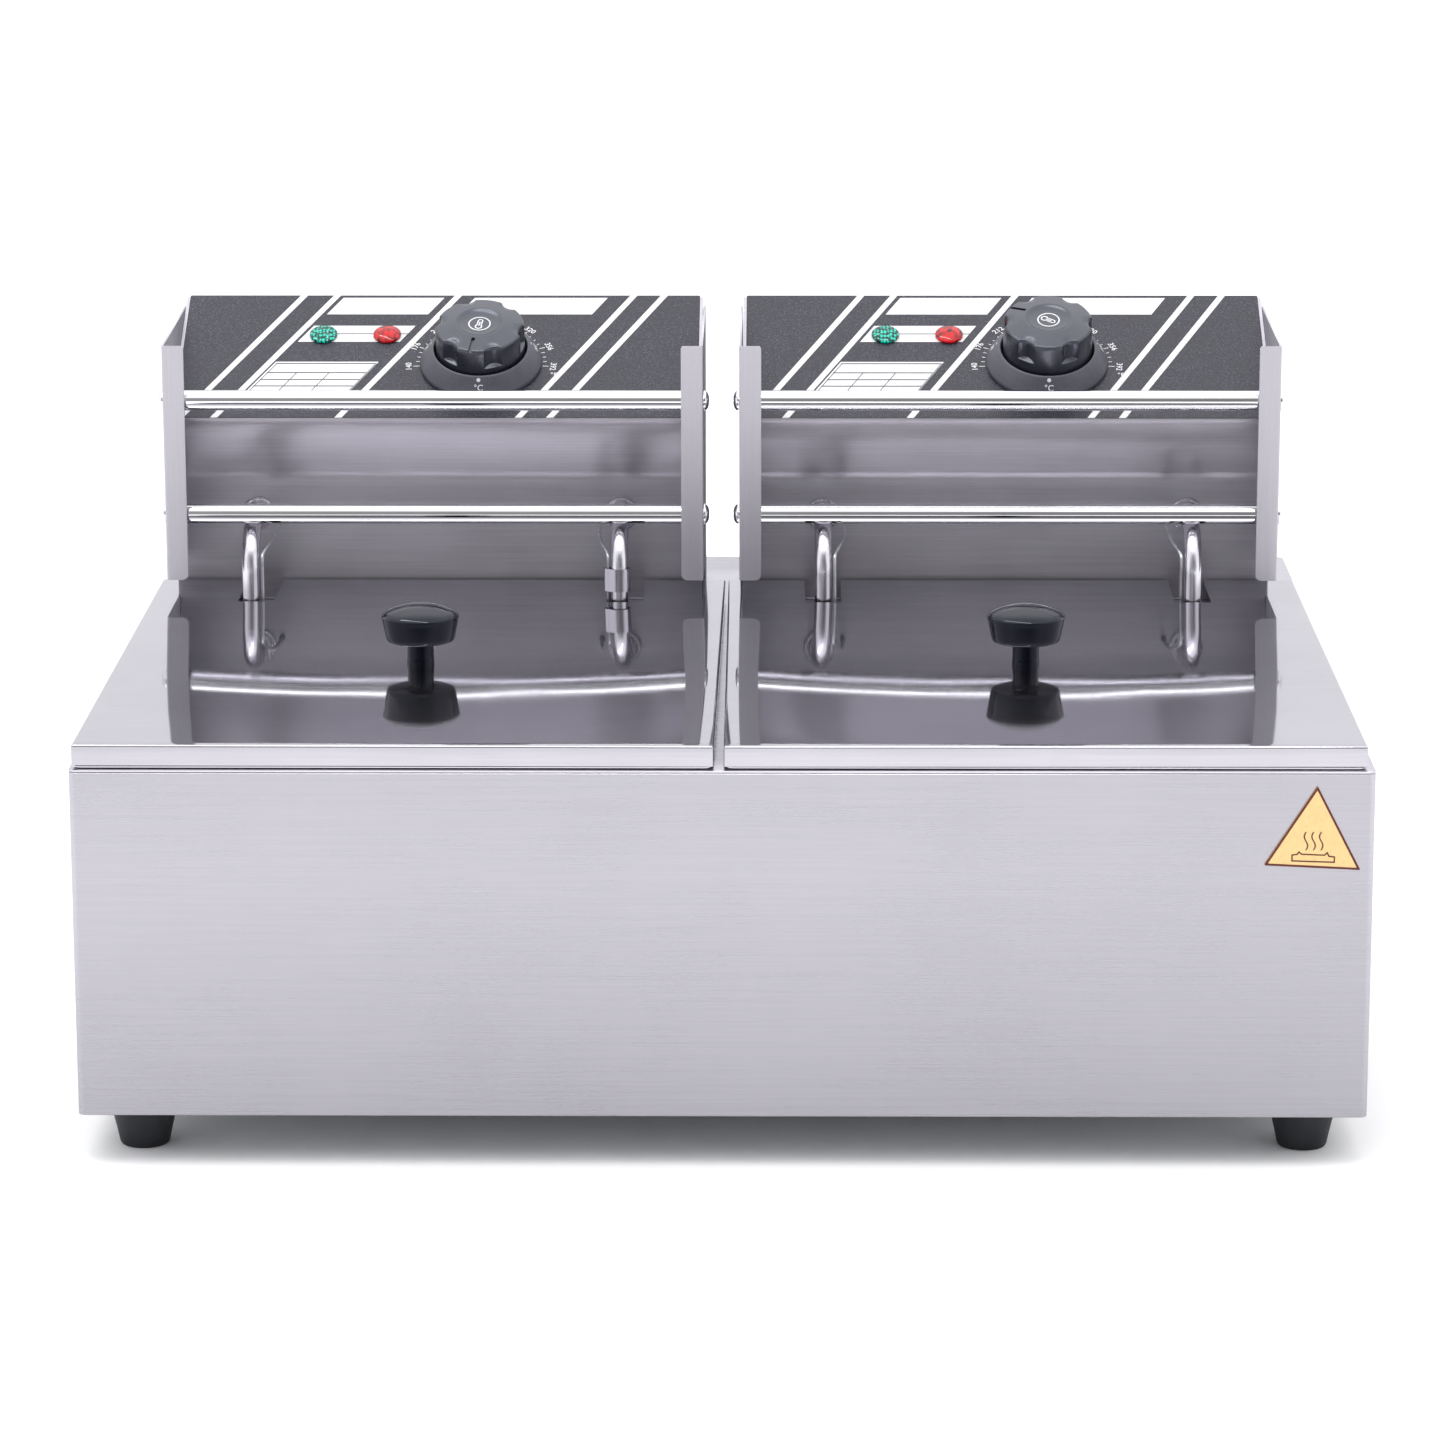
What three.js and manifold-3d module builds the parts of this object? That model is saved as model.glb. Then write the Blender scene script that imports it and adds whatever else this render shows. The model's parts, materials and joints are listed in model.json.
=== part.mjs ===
// Twin-tank electric countertop deep fryer. Millimetres, +Z up, +X to the user's right,
// +Y towards the back. The origin is the centre of the footprint on the worktop.
import * as THREE from 'three';
import { mergeVertices } from 'three/addons/utils/BufferGeometryUtils.js';
import Module from 'manifold-3d';

const wasm = await Module();
wasm.setup();

// ---------------------------------------------------------------- driving dimensions
const WIDTH = 550;              // casing, left to right
const DEPTH = 440;              // casing, front to back
const FOOT_HEIGHT = 22;
const DECK_TOP = 174.4;
const SHEET = 1;                // stainless sheet thickness
const GAP = 0.3;                // clearance between pieces that meet
const EDGE_R = 3;               // vertical corner radius of the casing
const CASE_BOTTOM = FOOT_HEIGHT + GAP;

const FOOT = { x: 250.5, y: 187, rTop: 15, rBottom: 10.8, stud: 3 };

// tank, lid and basket, measured from the tank's own centre line
const POT = { halfX: 117.5, front: -195, back: 100, floor: 38, corner: 25 };
const RIM = { halfX: 135, front: -218.6, back: 113, z: DECK_TOP + GAP, t: 1.1, corner: 4 };
const LID = { halfX: 135.15, front: -219.5, back: 114.5, top: 184.9, skirt: 8.8 };
const NOTCH = { left: -7.2, right: 9.8, front: 66.5 };
const BASKET = { halfX: 98, front: -183, back: 53, bottom: 61, top: 171, wall: 2 };

// control head, measured from the head's own centre line
const HEAD = {
  halfX: 125.3, front: 117, back: 178, bottom: DECK_TOP + GAP, bend: 233,
  panelFront: [90, 267.6], panelBack: [178, 312.9],
};
const PANEL_T = 1.2;
const PLATE = { inner: 125.6, outer: 126.6, front: 71, bottom: 193.9, top: 305.5, topBack: 308 };
const FLANGE_W = 10.3;
const BAR = { r: 4.75, y: 79, zUpper: 278.5, zLower: 224.3, bore: 2.5, boreDepth: 16 };
const SCREW = { r: 4.75, dome: 2.6, shank: 2.2, hole: 2.6 };

// heating element and its sensors
const LEG = { x: 87, y: 73, r: 4.1, exitZ: 217, bend: 20, floorZ: 50 };
const COIL = { runs: 6, front: -160, back: 30 };
const COLLAR = { r: 8, t: 3.5 };
const CAPILLARY_R = 0.8;
const CAPILLARY_X = 5.4;        // from the leg's axis, where the clip holds it
const CAPILLARY_EXIT = { x: 10.5, z: 213 };
const BULB = { r: 3, x: 7.6, bottom: 60, top: 148 };
const CLIP = { height: 10.8, wall: 0.6 };

// operating controls, in the sloped panel's own plane: u across, v up the slope
const KNOB_AT = [19.8, 43.7];
// the knob's top is a low cone from the dish's rim down to its fluted edge
const KNOB = { r: 21.2, bottom: 2, edge: 22.8, top: 24.8, dish: 10.8, floor: 23.3, bore: 12.3 };
const FLUTE = { count: 6, r: 6.6, depth: 3, bottom: 12.6 };
const BEZEL = { rOut: 29, rIn: 22.2, top: 9.7 };
const SHAFT = { r: 3, top: 12 };
const LAMP_V = 65.6;
const LAMP = { r: 6.6, body: 5, dome: 3.6 };
const LAMP_U = { green: -57.0, red: -26.4 };

// the two sides of the fryer: centre lines of the head, the lid and tank, and the lid's knob;
// probe is the leg that carries the control thermostat's bulb, clip the bottom of the clip there;
// the dial's knob rests turned by turn degrees and stands proud of where it could be pressed home
const SIDES = {
  left: { head: -138.4, tank: -138.4, knob: -136.7, probe: 1, clip: 188.7, turn: -10.4, proud: 0 },
  right: { head: 131.8, tank: 136.25, knob: 134.6, probe: -1, clip: 167.5, turn: -122, proud: 2.4 },
};

// ---------------------------------------------------------------- materials
const mat = (color, roughness, metalness) =>
  new THREE.MeshStandardMaterial({ color, roughness, metalness });
const BRUSHED = mat(0xb9b8c0, 0.35, 1);
const POLISHED = mat(0xc9c9cf, 0.15, 1);
const CHROME = mat(0xe4e5e8, 0.06, 1);
const TUBE_STEEL = mat(0xb4aeaa, 0.28, 1);
const LABEL_BLACK = mat(0x2c2d31, 0.6, 0);
const PLASTIC = mat(0x111113, 0.25, 0);
const BEZEL_GREY = mat(0x3a3b3f, 0.45, 0);
const RUBBER = mat(0x121212, 0.75, 0);
const GREEN = mat(0x067a5c, 0.1, 0);
const RED = mat(0xc01216, 0.1, 0);
const AMBER = mat(0xf2d193, 0.5, 0);
const GALVANISED = mat(0x9c9ea2, 0.4, 1);
const CERAMIC = mat(0xd9d4c8, 0.7, 0);

// ---------------------------------------------------------------- solids from geometry
function solid(geometry) {
  const g = geometry.index ? geometry.toNonIndexed() : geometry.clone();
  for (const name of Object.keys(g.attributes)) if (name !== 'position') g.deleteAttribute(name);
  const m = mergeVertices(g, 1e-5);
  const p = m.attributes.position.array;
  const t = m.index.array.slice();
  let volume = 0;
  const v = i => new THREE.Vector3().fromArray(p, 3 * i);
  for (let i = 0; i < t.length; i += 3) volume += v(t[i]).dot(v(t[i + 1]).cross(v(t[i + 2])));
  if (volume < 0) for (let i = 0; i < t.length; i += 3) [t[i], t[i + 1]] = [t[i + 1], t[i]];
  const triVerts = new Uint32Array(t);
  return new wasm.Manifold(new wasm.Mesh({ numProp: 3, vertProperties: new Float32Array(p), triVerts }));
}
const join = (...parts) => parts.reduce((a, b) => a.add(b));
const cut = (from, ...tools) => tools.reduce((a, b) => a.subtract(b), from);

function geometryOf(manifold) {
  const { vertProperties, triVerts } = manifold.getMesh();
  const g = new THREE.BufferGeometry();
  g.setAttribute('position', new THREE.BufferAttribute(new Float32Array(vertProperties), 3));
  g.setIndex(new THREE.BufferAttribute(new Uint32Array(triVerts), 1));
  g.computeVertexNormals();
  return g;
}

const box = (x0, x1, y0, y1, z0, z1) => solid(
  new THREE.BoxGeometry(x1 - x0, y1 - y0, z1 - z0)
    .translate((x0 + x1) / 2, (y0 + y1) / 2, (z0 + z1) / 2));

function extrude(points, low, high) {
  const shape = new THREE.Shape(points.map(([a, b]) => new THREE.Vector2(a, b)));
  return new THREE.ExtrudeGeometry(shape, { depth: high - low, bevelEnabled: false })
    .translate(0, 0, low);
}
const AXES = {
  X: new THREE.Matrix4().set(0, 0, 1, 0, 1, 0, 0, 0, 0, 1, 0, 0, 0, 0, 0, 1),
  Y: new THREE.Matrix4().set(1, 0, 0, 0, 0, 0, 1, 0, 0, 1, 0, 0, 0, 0, 0, 1),
};
// prisms: an outline in the plane across the named axis, between two stations on that axis
const prismX = (yz, x0, x1) => solid(extrude(yz, x0, x1).applyMatrix4(AXES.X));
const prismY = (xz, y0, y1) => solid(extrude(xz, y0, y1).applyMatrix4(AXES.Y));
const prismZ = (xy, z0, z1) => solid(extrude(xy, z0, z1));

// a rectangle with one radius per corner: [low-low, high-low, high-high, low-high]
function roundRect(a0, a1, b0, b1, radii, steps = 4) {
  const r = Array.isArray(radii) ? radii : [radii, radii, radii, radii];
  const centres = [[a0 + r[0], b0 + r[0]], [a1 - r[1], b0 + r[1]],
    [a1 - r[2], b1 - r[2]], [a0 + r[3], b1 - r[3]]];
  const points = [];
  centres.forEach(([a, b], k) => {
    if (r[k] === 0) { points.push([a, b]); return; }
    for (let i = 0; i <= steps; i++) {
      const angle = Math.PI * (1 + k / 2) + (Math.PI / 2) * (i / steps);
      points.push([a + r[k] * Math.cos(angle), b + r[k] * Math.sin(angle)]);
    }
  });
  return points;
}

// moves every edge of a closed outline inwards by its own distance
function inset(points, distances) {
  const n = points.length;
  const area = points.reduce((s, [a, b], i) => {
    const [c, d] = points[(i + 1) % n];
    return s + a * d - b * c;
  }, 0);
  const lines = points.map(([a, b], i) => {
    const [c, d] = points[(i + 1) % n];
    const length = Math.hypot(c - a, d - b) * Math.sign(area);
    const normal = [-(d - b) / length, (c - a) / length];
    return { normal, offset: normal[0] * a + normal[1] * b + distances[i] };
  });
  return lines.map((line, i) => {
    const last = lines[(i + n - 1) % n];
    const [a, b, c, d] = [...last.normal, ...line.normal];
    const det = a * d - b * c;
    return [(last.offset * d - line.offset * b) / det, (a * line.offset - c * last.offset) / det];
  });
}

// a turned piece about +Z from [radius, height] points; the outline closes on the axis or on itself
function turned(profile, segments = 24) {
  const closed = profile[0][0] > 0 ? [...profile, profile[0]] : profile;
  const points = closed.map(([r, z]) => new THREE.Vector2(r, z));
  return new THREE.LatheGeometry(points, segments).rotateX(Math.PI / 2);
}
const cylinder = (r, z0, z1, segments = 20) => turned([[0, z0], [r, z0], [r, z1], [0, z1]], segments);
const alongY = g => g.rotateX(-Math.PI / 2);          // +Z becomes +Y
const alongX = g => g.rotateY(Math.PI / 2);           // +Z becomes +X

// a path through given stations, with a section square to the mean direction at each one
class Stations extends THREE.Curve {
  constructor(points) { super(); this.stations = points; }
  index(u) { return Math.round(u * (this.stations.length - 1)); }
  getPoint(u) { return this.stations[this.index(u)].clone(); }
  getPointAt(u) { return this.getPoint(u); }
  getTangentAt(u) {
    const i = this.index(u);
    const s = this.stations;
    const into = s[Math.max(i, 1)].clone().sub(s[Math.max(i, 1) - 1]).normalize();
    const out = s[Math.min(i + 1, s.length - 1)].clone()
      .sub(s[Math.min(i, s.length - 2)]).normalize();
    return into.add(out).normalize();
  }
}
function rod(points, r, sides) {
  const path = new Stations(points.map(p => new THREE.Vector3(...p)));
  const section = new THREE.Shape(Array.from({ length: sides }, (_, i) => new THREE.Vector2(
    r * Math.cos((2 * Math.PI * (i + 0.5)) / sides), r * Math.sin((2 * Math.PI * (i + 0.5)) / sides))));
  return solid(new THREE.ExtrudeGeometry(section, {
    steps: points.length - 1, extrudePath: path, bevelEnabled: false, curveSegments: 1 }));
}
const smooth = (points, count) => new THREE.CatmullRomCurve3(
  points.map(p => new THREE.Vector3(...p)), false, 'centripetal')
  .getSpacedPoints(count).map(p => p.toArray());

// ---------------------------------------------------------------- assembly helpers
const fryer = new THREE.Group();
fryer.name = 'deep_fryer';
function put(parent, name, shape, material) {
  const mesh = new THREE.Mesh(geometryOf(shape), material);
  mesh.name = name;
  parent.add(mesh);
}

// the sloped control panel's own frame: x across, y up the slope, z out of the face
const SLOPE = Math.atan2(HEAD.panelBack[1] - HEAD.panelFront[1],
  HEAD.panelBack[0] - HEAD.panelFront[0]);
const PANEL_FRAME = new THREE.Matrix4().makeRotationX(SLOPE)
  .setPosition(0, HEAD.panelFront[0], HEAD.panelFront[1]);
const onPanel = (geometry, u, v) => geometry.translate(u, v, 0).applyMatrix4(PANEL_FRAME);

// ---------------------------------------------------------------- body of the fryer
const caseOutline = inner => roundRect(-WIDTH / 2 + inner, WIDTH / 2 - inner,
  -DEPTH / 2 + inner, DEPTH / 2 - inner, Math.max(EDGE_R - inner, 1));
const deckUnder = DECK_TOP - SHEET;

put(fryer, 'outer_casing', cut(
  prismZ(caseOutline(0), CASE_BOTTOM, deckUnder - GAP),
  prismZ(caseOutline(SHEET), CASE_BOTTOM - 5, deckUnder + 5)), BRUSHED);

const tray = SHEET + GAP;
const footStations = [[-1, -1], [1, -1], [1, 1], [-1, 1]].map(([a, b]) => [a * FOOT.x, b * FOOT.y]);
put(fryer, 'base_plate', cut(
  prismZ(caseOutline(tray), CASE_BOTTOM, CASE_BOTTOM + 12),
  prismZ(caseOutline(tray + SHEET), CASE_BOTTOM + SHEET, CASE_BOTTOM + 20),
  ...footStations.map(([x, y]) => solid(
    cylinder(FOOT.stud + GAP, CASE_BOTTOM - 2, CASE_BOTTOM + 4, 12).translate(x, y, 0)))), GALVANISED);

const clearance = 0.7;
const potHole = tank => prismZ(roundRect(
  tank - POT.halfX - SHEET - clearance, tank + POT.halfX + SHEET + clearance,
  POT.front - SHEET - clearance, POT.back + SHEET + clearance, POT.corner + 1), DECK_TOP - 40, DECK_TOP + 5);
put(fryer, 'top_deck', cut(
  join(prismZ(caseOutline(0), deckUnder, DECK_TOP),
    prismZ(caseOutline(tray), deckUnder - 10, deckUnder)),
  prismZ(caseOutline(tray + SHEET), deckUnder - 20, deckUnder),
  potHole(SIDES.left.tank), potHole(SIDES.right.tank)), POLISHED);

['front_left', 'front_right', 'rear_right', 'rear_left'].forEach((where, i) => {
  const [x, y] = footStations[i];
  put(fryer, `foot_${where}`, solid(turned([[0, 0], [FOOT.rBottom - 1, 0], [FOOT.rBottom, 1],
    [FOOT.rTop, FOOT_HEIGHT - 2], [FOOT.rTop, FOOT_HEIGHT], [FOOT.stud, FOOT_HEIGHT],
    [FOOT.stud, FOOT_HEIGHT + 9], [0, FOOT_HEIGHT + 9]], 16).translate(x, y, 0)), RUBBER);
});

const LABEL = { apex: [250.4, 168.2], left: [228.5, 133.7], right: [269.2, 131.7], t: 0.3 };
put(fryer, 'hot_surface_label', prismY([LABEL.apex, LABEL.left, LABEL.right],
  -DEPTH / 2 - GAP - LABEL.t, -DEPTH / 2 - GAP), AMBER);

// ---------------------------------------------------------------- one side
for (const [side, at] of Object.entries(SIDES)) {
  const tank = new THREE.Group();
  tank.position.x = at.tank;
  const head = new THREE.Group();
  head.position.x = at.head;
  fryer.add(tank, head);
  const legs = [-LEG.x, LEG.x];

  // tank: a deep-drawn pan hanging by its rim on the deck
  const potOuter = roundRect(-POT.halfX - SHEET, POT.halfX + SHEET,
    POT.front - SHEET, POT.back + SHEET, POT.corner + SHEET);
  const potInner = roundRect(-POT.halfX, POT.halfX, POT.front, POT.back, POT.corner);
  put(tank, `${side}_oil_pot`, cut(
    join(prismZ(potOuter, POT.floor - SHEET, RIM.z + RIM.t),
      prismZ(roundRect(-RIM.halfX, RIM.halfX, RIM.front, RIM.back, RIM.corner), RIM.z, RIM.z + RIM.t)),
    prismZ(potInner, POT.floor, RIM.z + 20)), POLISHED);

  // lid: a shallow pan with front and side skirts, notched at the back around the element's legs
  const lidBottom = LID.top - LID.skirt;
  const notches = legs.map(x => box(x + at.head - at.tank + NOTCH.left, x + at.head - at.tank + NOTCH.right,
    NOTCH.front, LID.back + 10, lidBottom - 5, LID.top + 5));
  put(tank, `${side}_lid`, cut(
    prismZ(roundRect(-LID.halfX, LID.halfX, LID.front, LID.back, [2, 2, 1, 1]), lidBottom, LID.top),
    prismZ(roundRect(-LID.halfX + SHEET, LID.halfX - SHEET, LID.front + SHEET, LID.back + 10,
      [1, 1, 0, 0]), lidBottom - 5, LID.top - SHEET),
    ...notches), POLISHED);
  const k = LID.top + GAP;
  put(tank, `${side}_lid_knob`, solid(turned([[0, k], [6.4, k], [6.4, k + 1.2], [5.9, k + 1.6],
    [5.9, k + 8.8], [14.3, k + 8.8], [15.3, k + 9.8], [17.3, k + 19.3], [17.5, k + 20],
    [16.3, k + 21.8], [10.5, k + 24.3], [0, k + 25.5]], 20)
    .translate(at.knob - at.tank, -58.4, 0)), PLASTIC);

  // basket: an open box with windowed walls and a folded carrying loop inside the front wall
  const B = BASKET;
  const spread = (low, high, count, rib) => Array.from({ length: count }, (_, i) => {
    const pitch = (high - low + rib) / count;
    return [low + i * pitch, low + (i + 1) * pitch - rib];
  });
  const across = spread(-B.halfX + 8, B.halfX - 8, 4, 6);
  const along = spread(B.front + 8, B.back - 8, 5, 6);
  const up = spread(B.bottom + 8, B.top - 10, 2, 6);
  const windows = [];
  for (const [z0, z1] of up) {
    for (const [x0, x1] of across) windows.push(box(x0, x1, B.front - 5, B.back + 5, z0, z1));
    for (const [y0, y1] of along) windows.push(box(-B.halfX - 5, B.halfX + 5, y0, y1, z0, z1));
  }
  for (const [x0, x1] of across) {
    for (const [y0, y1] of along) windows.push(box(x0, x1, y0, y1, B.bottom - 5, B.bottom + 5));
  }
  const loop = rod([[-24, B.front + 1, 166], [-24, B.front + 96, 166], [-18, B.front + 104, 166],
    [18, B.front + 104, 166], [24, B.front + 96, 166], [24, B.front + 1, 166]], 2.5, 8);
  put(tank, `${side}_basket`, join(cut(
    prismZ(roundRect(-B.halfX, B.halfX, B.front, B.back, 6, 1), B.bottom, B.top),
    prismZ(roundRect(-B.halfX + B.wall, B.halfX - B.wall, B.front + B.wall, B.back - B.wall, 4, 1),
      B.bottom + B.wall, B.top + 5),
    ...windows), loop), CHROME);

  // control head: folded sheet box with an overhanging sloped top
  const outline = [[HEAD.front, HEAD.bottom], [HEAD.front, HEAD.bend], HEAD.panelFront,
    HEAD.panelBack, [HEAD.back, HEAD.bottom]];
  const skin = PANEL_T + GAP;
  const inner = inset(outline, [SHEET, skin + SHEET, -30, skin + SHEET, SHEET]);
  const probe = at.probe;
  const capillaryHoles = [-1, 1].map(s => solid(alongY(
    cylinder(CAPILLARY_R + 0.5, HEAD.front - 5, HEAD.front + 5, 8)).translate(
    s * (LEG.x - CAPILLARY_EXIT.x), 0, CAPILLARY_EXIT.z)));
  const RESET = { x: -70 * probe, z: 250, r: 4.5 };
  const GLAND = { x: 62 * probe, z: 206, r: 8 };
  put(head, `${side}_head_housing`, cut(
    prismX(inset(outline, [0, skin, skin, skin, 0]), -HEAD.halfX, HEAD.halfX),
    prismX(inner, -HEAD.halfX + SHEET, HEAD.halfX - SHEET),
    ...legs.map(x => solid(alongY(cylinder(LEG.r + 0.4, HEAD.front - 5, HEAD.front + 5, 16))
      .translate(x, 0, LEG.exitZ))),
    ...capillaryHoles,
    solid(alongY(cylinder(RESET.r + GAP, HEAD.back - 8, HEAD.back + 5, 16)).translate(RESET.x, 0, RESET.z)),
    solid(alongY(cylinder(GLAND.r + GAP, HEAD.back - 8, HEAD.back + 5, 20)).translate(GLAND.x, 0, GLAND.z))),
  BRUSHED);

  const lip = 3;
  put(head, `${side}_control_panel`, cut(
    prismX(outline, -HEAD.halfX, HEAD.halfX),
    prismX(inset(outline, [-5, PANEL_T, PANEL_T, PANEL_T, -5]), -HEAD.halfX - 5, HEAD.halfX + 5),
    box(-HEAD.halfX - 5, HEAD.halfX + 5, 60, 170, 100, HEAD.panelFront[1] - lip),
    box(-HEAD.halfX - 5, HEAD.halfX + 5, 170, 200, 100, HEAD.panelBack[1] - 9),
    solid(onPanel(cylinder(5.5, -5, 5, 16), ...KNOB_AT)),
    solid(onPanel(cylinder(LAMP.body + GAP + 0.1, -5, 5, 14), LAMP_U.green, LAMP_V)),
    solid(onPanel(cylinder(LAMP.body + GAP + 0.1, -5, 5, 14), LAMP_U.red, LAMP_V))), LABEL_BLACK);

  // cheek plates: each a sheet with its front edge folded inwards
  for (const [hand, s] of [['left', -1], ['right', 1]]) {
    const cheek = [[PLATE.front, PLATE.bottom], [HEAD.front + 2, PLATE.bottom],
      [HEAD.front + 2, HEAD.bottom], [HEAD.back - 1.5, HEAD.bottom], [HEAD.back - 1.5, PLATE.topBack],
      [PLATE.front, PLATE.top]];
    const fold = roundRect(PLATE.outer - FLANGE_W, PLATE.outer, PLATE.bottom, PLATE.top, [3, 0, 0, 3], 3)
      .map(([x, z]) => [s * x, z]);
    const shape = cut(
      join(prismX(cheek, Math.min(s * PLATE.inner, s * PLATE.outer), Math.max(s * PLATE.inner, s * PLATE.outer)),
        prismY(s > 0 ? fold : fold.reverse(), PLATE.front, PLATE.front + SHEET)),
      ...[BAR.zUpper, BAR.zLower].map(z => solid(alongX(cylinder(SCREW.hole, -PLATE.outer - 5,
        PLATE.outer + 5, 12)).translate(0, BAR.y, z))));
    put(head, `${side}_cheek_${hand}`, shape, BRUSHED);
  }

  // two round bars between the cheeks, each held by a domed screw at both ends
  const barEnd = PLATE.inner - GAP;
  for (const [level, z] of [['upper', BAR.zUpper], ['lower', BAR.zLower]]) {
    const bar = cut(solid(cylinder(BAR.r, -barEnd, barEnd, 16)),
      solid(cylinder(BAR.bore, barEnd - BAR.boreDepth, barEnd + 5, 10)),
      solid(cylinder(BAR.bore, -barEnd - 5, -barEnd + BAR.boreDepth, 10)));
    put(head, `${side}_${level}_bar`, bar.rotate([0, 90, 0]).translate([0, BAR.y, z]), CHROME);
    for (const [hand, s] of [['left', -1], ['right', 1]]) {
      const h = PLATE.outer + GAP;
      const screw = turned([[0, h - 13], [SCREW.shank, h - 13], [SCREW.shank, h], [SCREW.r, h],
        [SCREW.r * 0.86, h + SCREW.dome * 0.6], [SCREW.r * 0.5, h + SCREW.dome * 0.92],
        [0, h + SCREW.dome]], 10);
      put(head, `${side}_${level}_screw_${hand}`,
        solid(alongX(screw).rotateZ(s > 0 ? 0 : Math.PI).translate(0, BAR.y, z)), CHROME);
    }
  }

  // heating element: one steel tube, both ends in the head, looping over the tank's floor
  const arc = (cy, cz, r, from, to, count) => Array.from({ length: count + 1 }, (_, i) => {
    const a = THREE.MathUtils.degToRad(from + ((to - from) * i) / count);
    return [cy + r * Math.cos(a), cz + r * Math.sin(a)];
  });
  const descent = [[146, LEG.exitZ],
    ...arc(LEG.y + LEG.bend, LEG.exitZ - LEG.bend, LEG.bend, 90, 180, 5),
    ...arc(LEG.y - LEG.bend, LEG.floorZ + LEG.bend, LEG.bend, 0, -90, 4)];
  const route = descent.map(([y, z]) => [-LEG.x, y, z]);
  const pitch = (2 * LEG.x) / (COIL.runs - 1);
  for (let i = 0; i < COIL.runs - 1; i++) {
    const forward = i % 2 === 0;
    for (const [dx, dy] of arc(0, 0, pitch / 2, 180, 0, 6)) {
      route.push([-LEG.x + (i + 0.5) * pitch + dx, forward ? COIL.front - dy : COIL.back + dy, LEG.floorZ]);
    }
  }
  route.push(...descent.map(([y, z]) => [LEG.x, y, z]).reverse());
  const element = join(rod(route, LEG.r, 8), ...legs.map(x => solid(alongY(turned([
    [0, HEAD.front - GAP - COLLAR.t], [COLLAR.r - 0.8, HEAD.front - GAP - COLLAR.t],
    [COLLAR.r, HEAD.front - GAP - COLLAR.t + 0.8], [COLLAR.r, HEAD.front - GAP],
    [0, HEAD.front - GAP]], 16)).translate(x, 0, LEG.exitZ))));
  put(head, `${side}_heating_element`, element, TUBE_STEEL);

  // a sensing capillary: from a start inside the head, out beside a leg and down to its bulb
  const capillary = (s, start) => {
    const x = s * LEG.x;
    const exit = s * (LEG.x - CAPILLARY_EXIT.x);
    const held = x - s * CAPILLARY_X;
    const bulbX = x - s * BULB.x;
    const line = smooth([start, [exit, 134, CAPILLARY_EXIT.z + 6], [exit, 124, CAPILLARY_EXIT.z],
      [exit, 110, CAPILLARY_EXIT.z], [exit + s * 1.2, 86, 210.5], [held - s * 0.4, 75.2, 206],
      [held, LEG.y, 202.5], [held, LEG.y, 194], [held, LEG.y, 186], [held, LEG.y, 165], [bulbX, LEG.y, BULB.top + 4],
      [bulbX, LEG.y, BULB.top - 5]], 24);
    const bulb = turned([[0, BULB.bottom], [BULB.r - 1, BULB.bottom], [BULB.r, BULB.bottom + 1.5],
      [BULB.r, BULB.top - 2], [1.4, BULB.top + 1], [0, BULB.top + 1]], 8).translate(bulbX, LEG.y, 0);
    return join(rod(line, CAPILLARY_R, 5), solid(bulb));
  };
  const thermostatCase = onPanel(new THREE.BoxGeometry(36, 36, 19).translate(0, 0, -12.5), ...KNOB_AT);
  put(head, `${side}_thermostat`, join(
    cut(join(solid(thermostatCase), solid(onPanel(cylinder(5, -4, 1.3, 16), ...KNOB_AT))),
      solid(onPanel(cylinder(SHAFT.r + GAP, -18.3, 5, 12), ...KNOB_AT))),
    capillary(probe, [KNOB_AT[0] + 12 * probe, 136, 272])), GALVANISED);
  put(head, `${side}_thermostat_shaft`,
    solid(onPanel(cylinder(SHAFT.r, -18, SHAFT.top, 16), ...KNOB_AT)), GALVANISED);
  put(head, `${side}_limit_thermostat`, join(
    box(RESET.x - 16, RESET.x + 16, 148, 168, RESET.z - 15, RESET.z + 15),
    capillary(-probe, [RESET.x, 150, RESET.z - 10])), GALVANISED);
  put(head, `${side}_reset_button`, solid(alongY(turned([[0, 170.6], [6.5, 170.6], [6.5, 172],
    [RESET.r, 172], [RESET.r, 178.8], [RESET.r - 0.7, 179.5], [0, 179.5]], 12))
    .translate(RESET.x, 0, RESET.z)), RED);

  // spring-steel clip round one leg and its capillary
  const egg = grow => {
    const points = [];
    const [r1, r2] = [LEG.r + 0.45 + grow, CAPILLARY_R + 0.6 + grow];
    const lean = Math.acos((r1 - r2) / CAPILLARY_X);
    for (let i = 0; i <= 14; i++) {
      const a = lean + ((2 * Math.PI - 2 * lean) * i) / 14;
      points.push([r1 * Math.cos(a), r1 * Math.sin(a)]);
    }
    for (let i = 0; i <= 6; i++) {
      const a = -lean + (2 * lean * i) / 6;
      points.push([CAPILLARY_X + r2 * Math.cos(a), r2 * Math.sin(a)]);
    }
    return points.map(([a, b]) => [-probe * a + probe * LEG.x, b + LEG.y]);
  };
  put(head, `${side}_sensor_clip`, cut(prismZ(egg(CLIP.wall), at.clip, at.clip + CLIP.height),
    prismZ(egg(0), at.clip - 5, at.clip + CLIP.height + 5)), BRUSHED);

  // wiring inside the head and the cord's gland in its back
  put(head, `${side}_terminal_block`, cut(box(-34, 34, 138, 158, 180, 202),
    ...[-24, -8, 8, 24].map(x => box(x - 6, x + 6, 141, 155, 196, 210))), CERAMIC);
  const wall = HEAD.back - skin;
  put(head, `${side}_cable_gland`, solid(alongY(turned([[4.4, wall - 10], [GLAND.r, wall - 10],
    [GLAND.r, wall + GAP], [12, wall + GAP], [12, wall + 5], [10, wall + 6], [10, wall + 12],
    [7.5, wall + 15], [4.4, wall + 15]], 14)).translate(GLAND.x, 0, GLAND.z)), PLASTIC);

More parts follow.
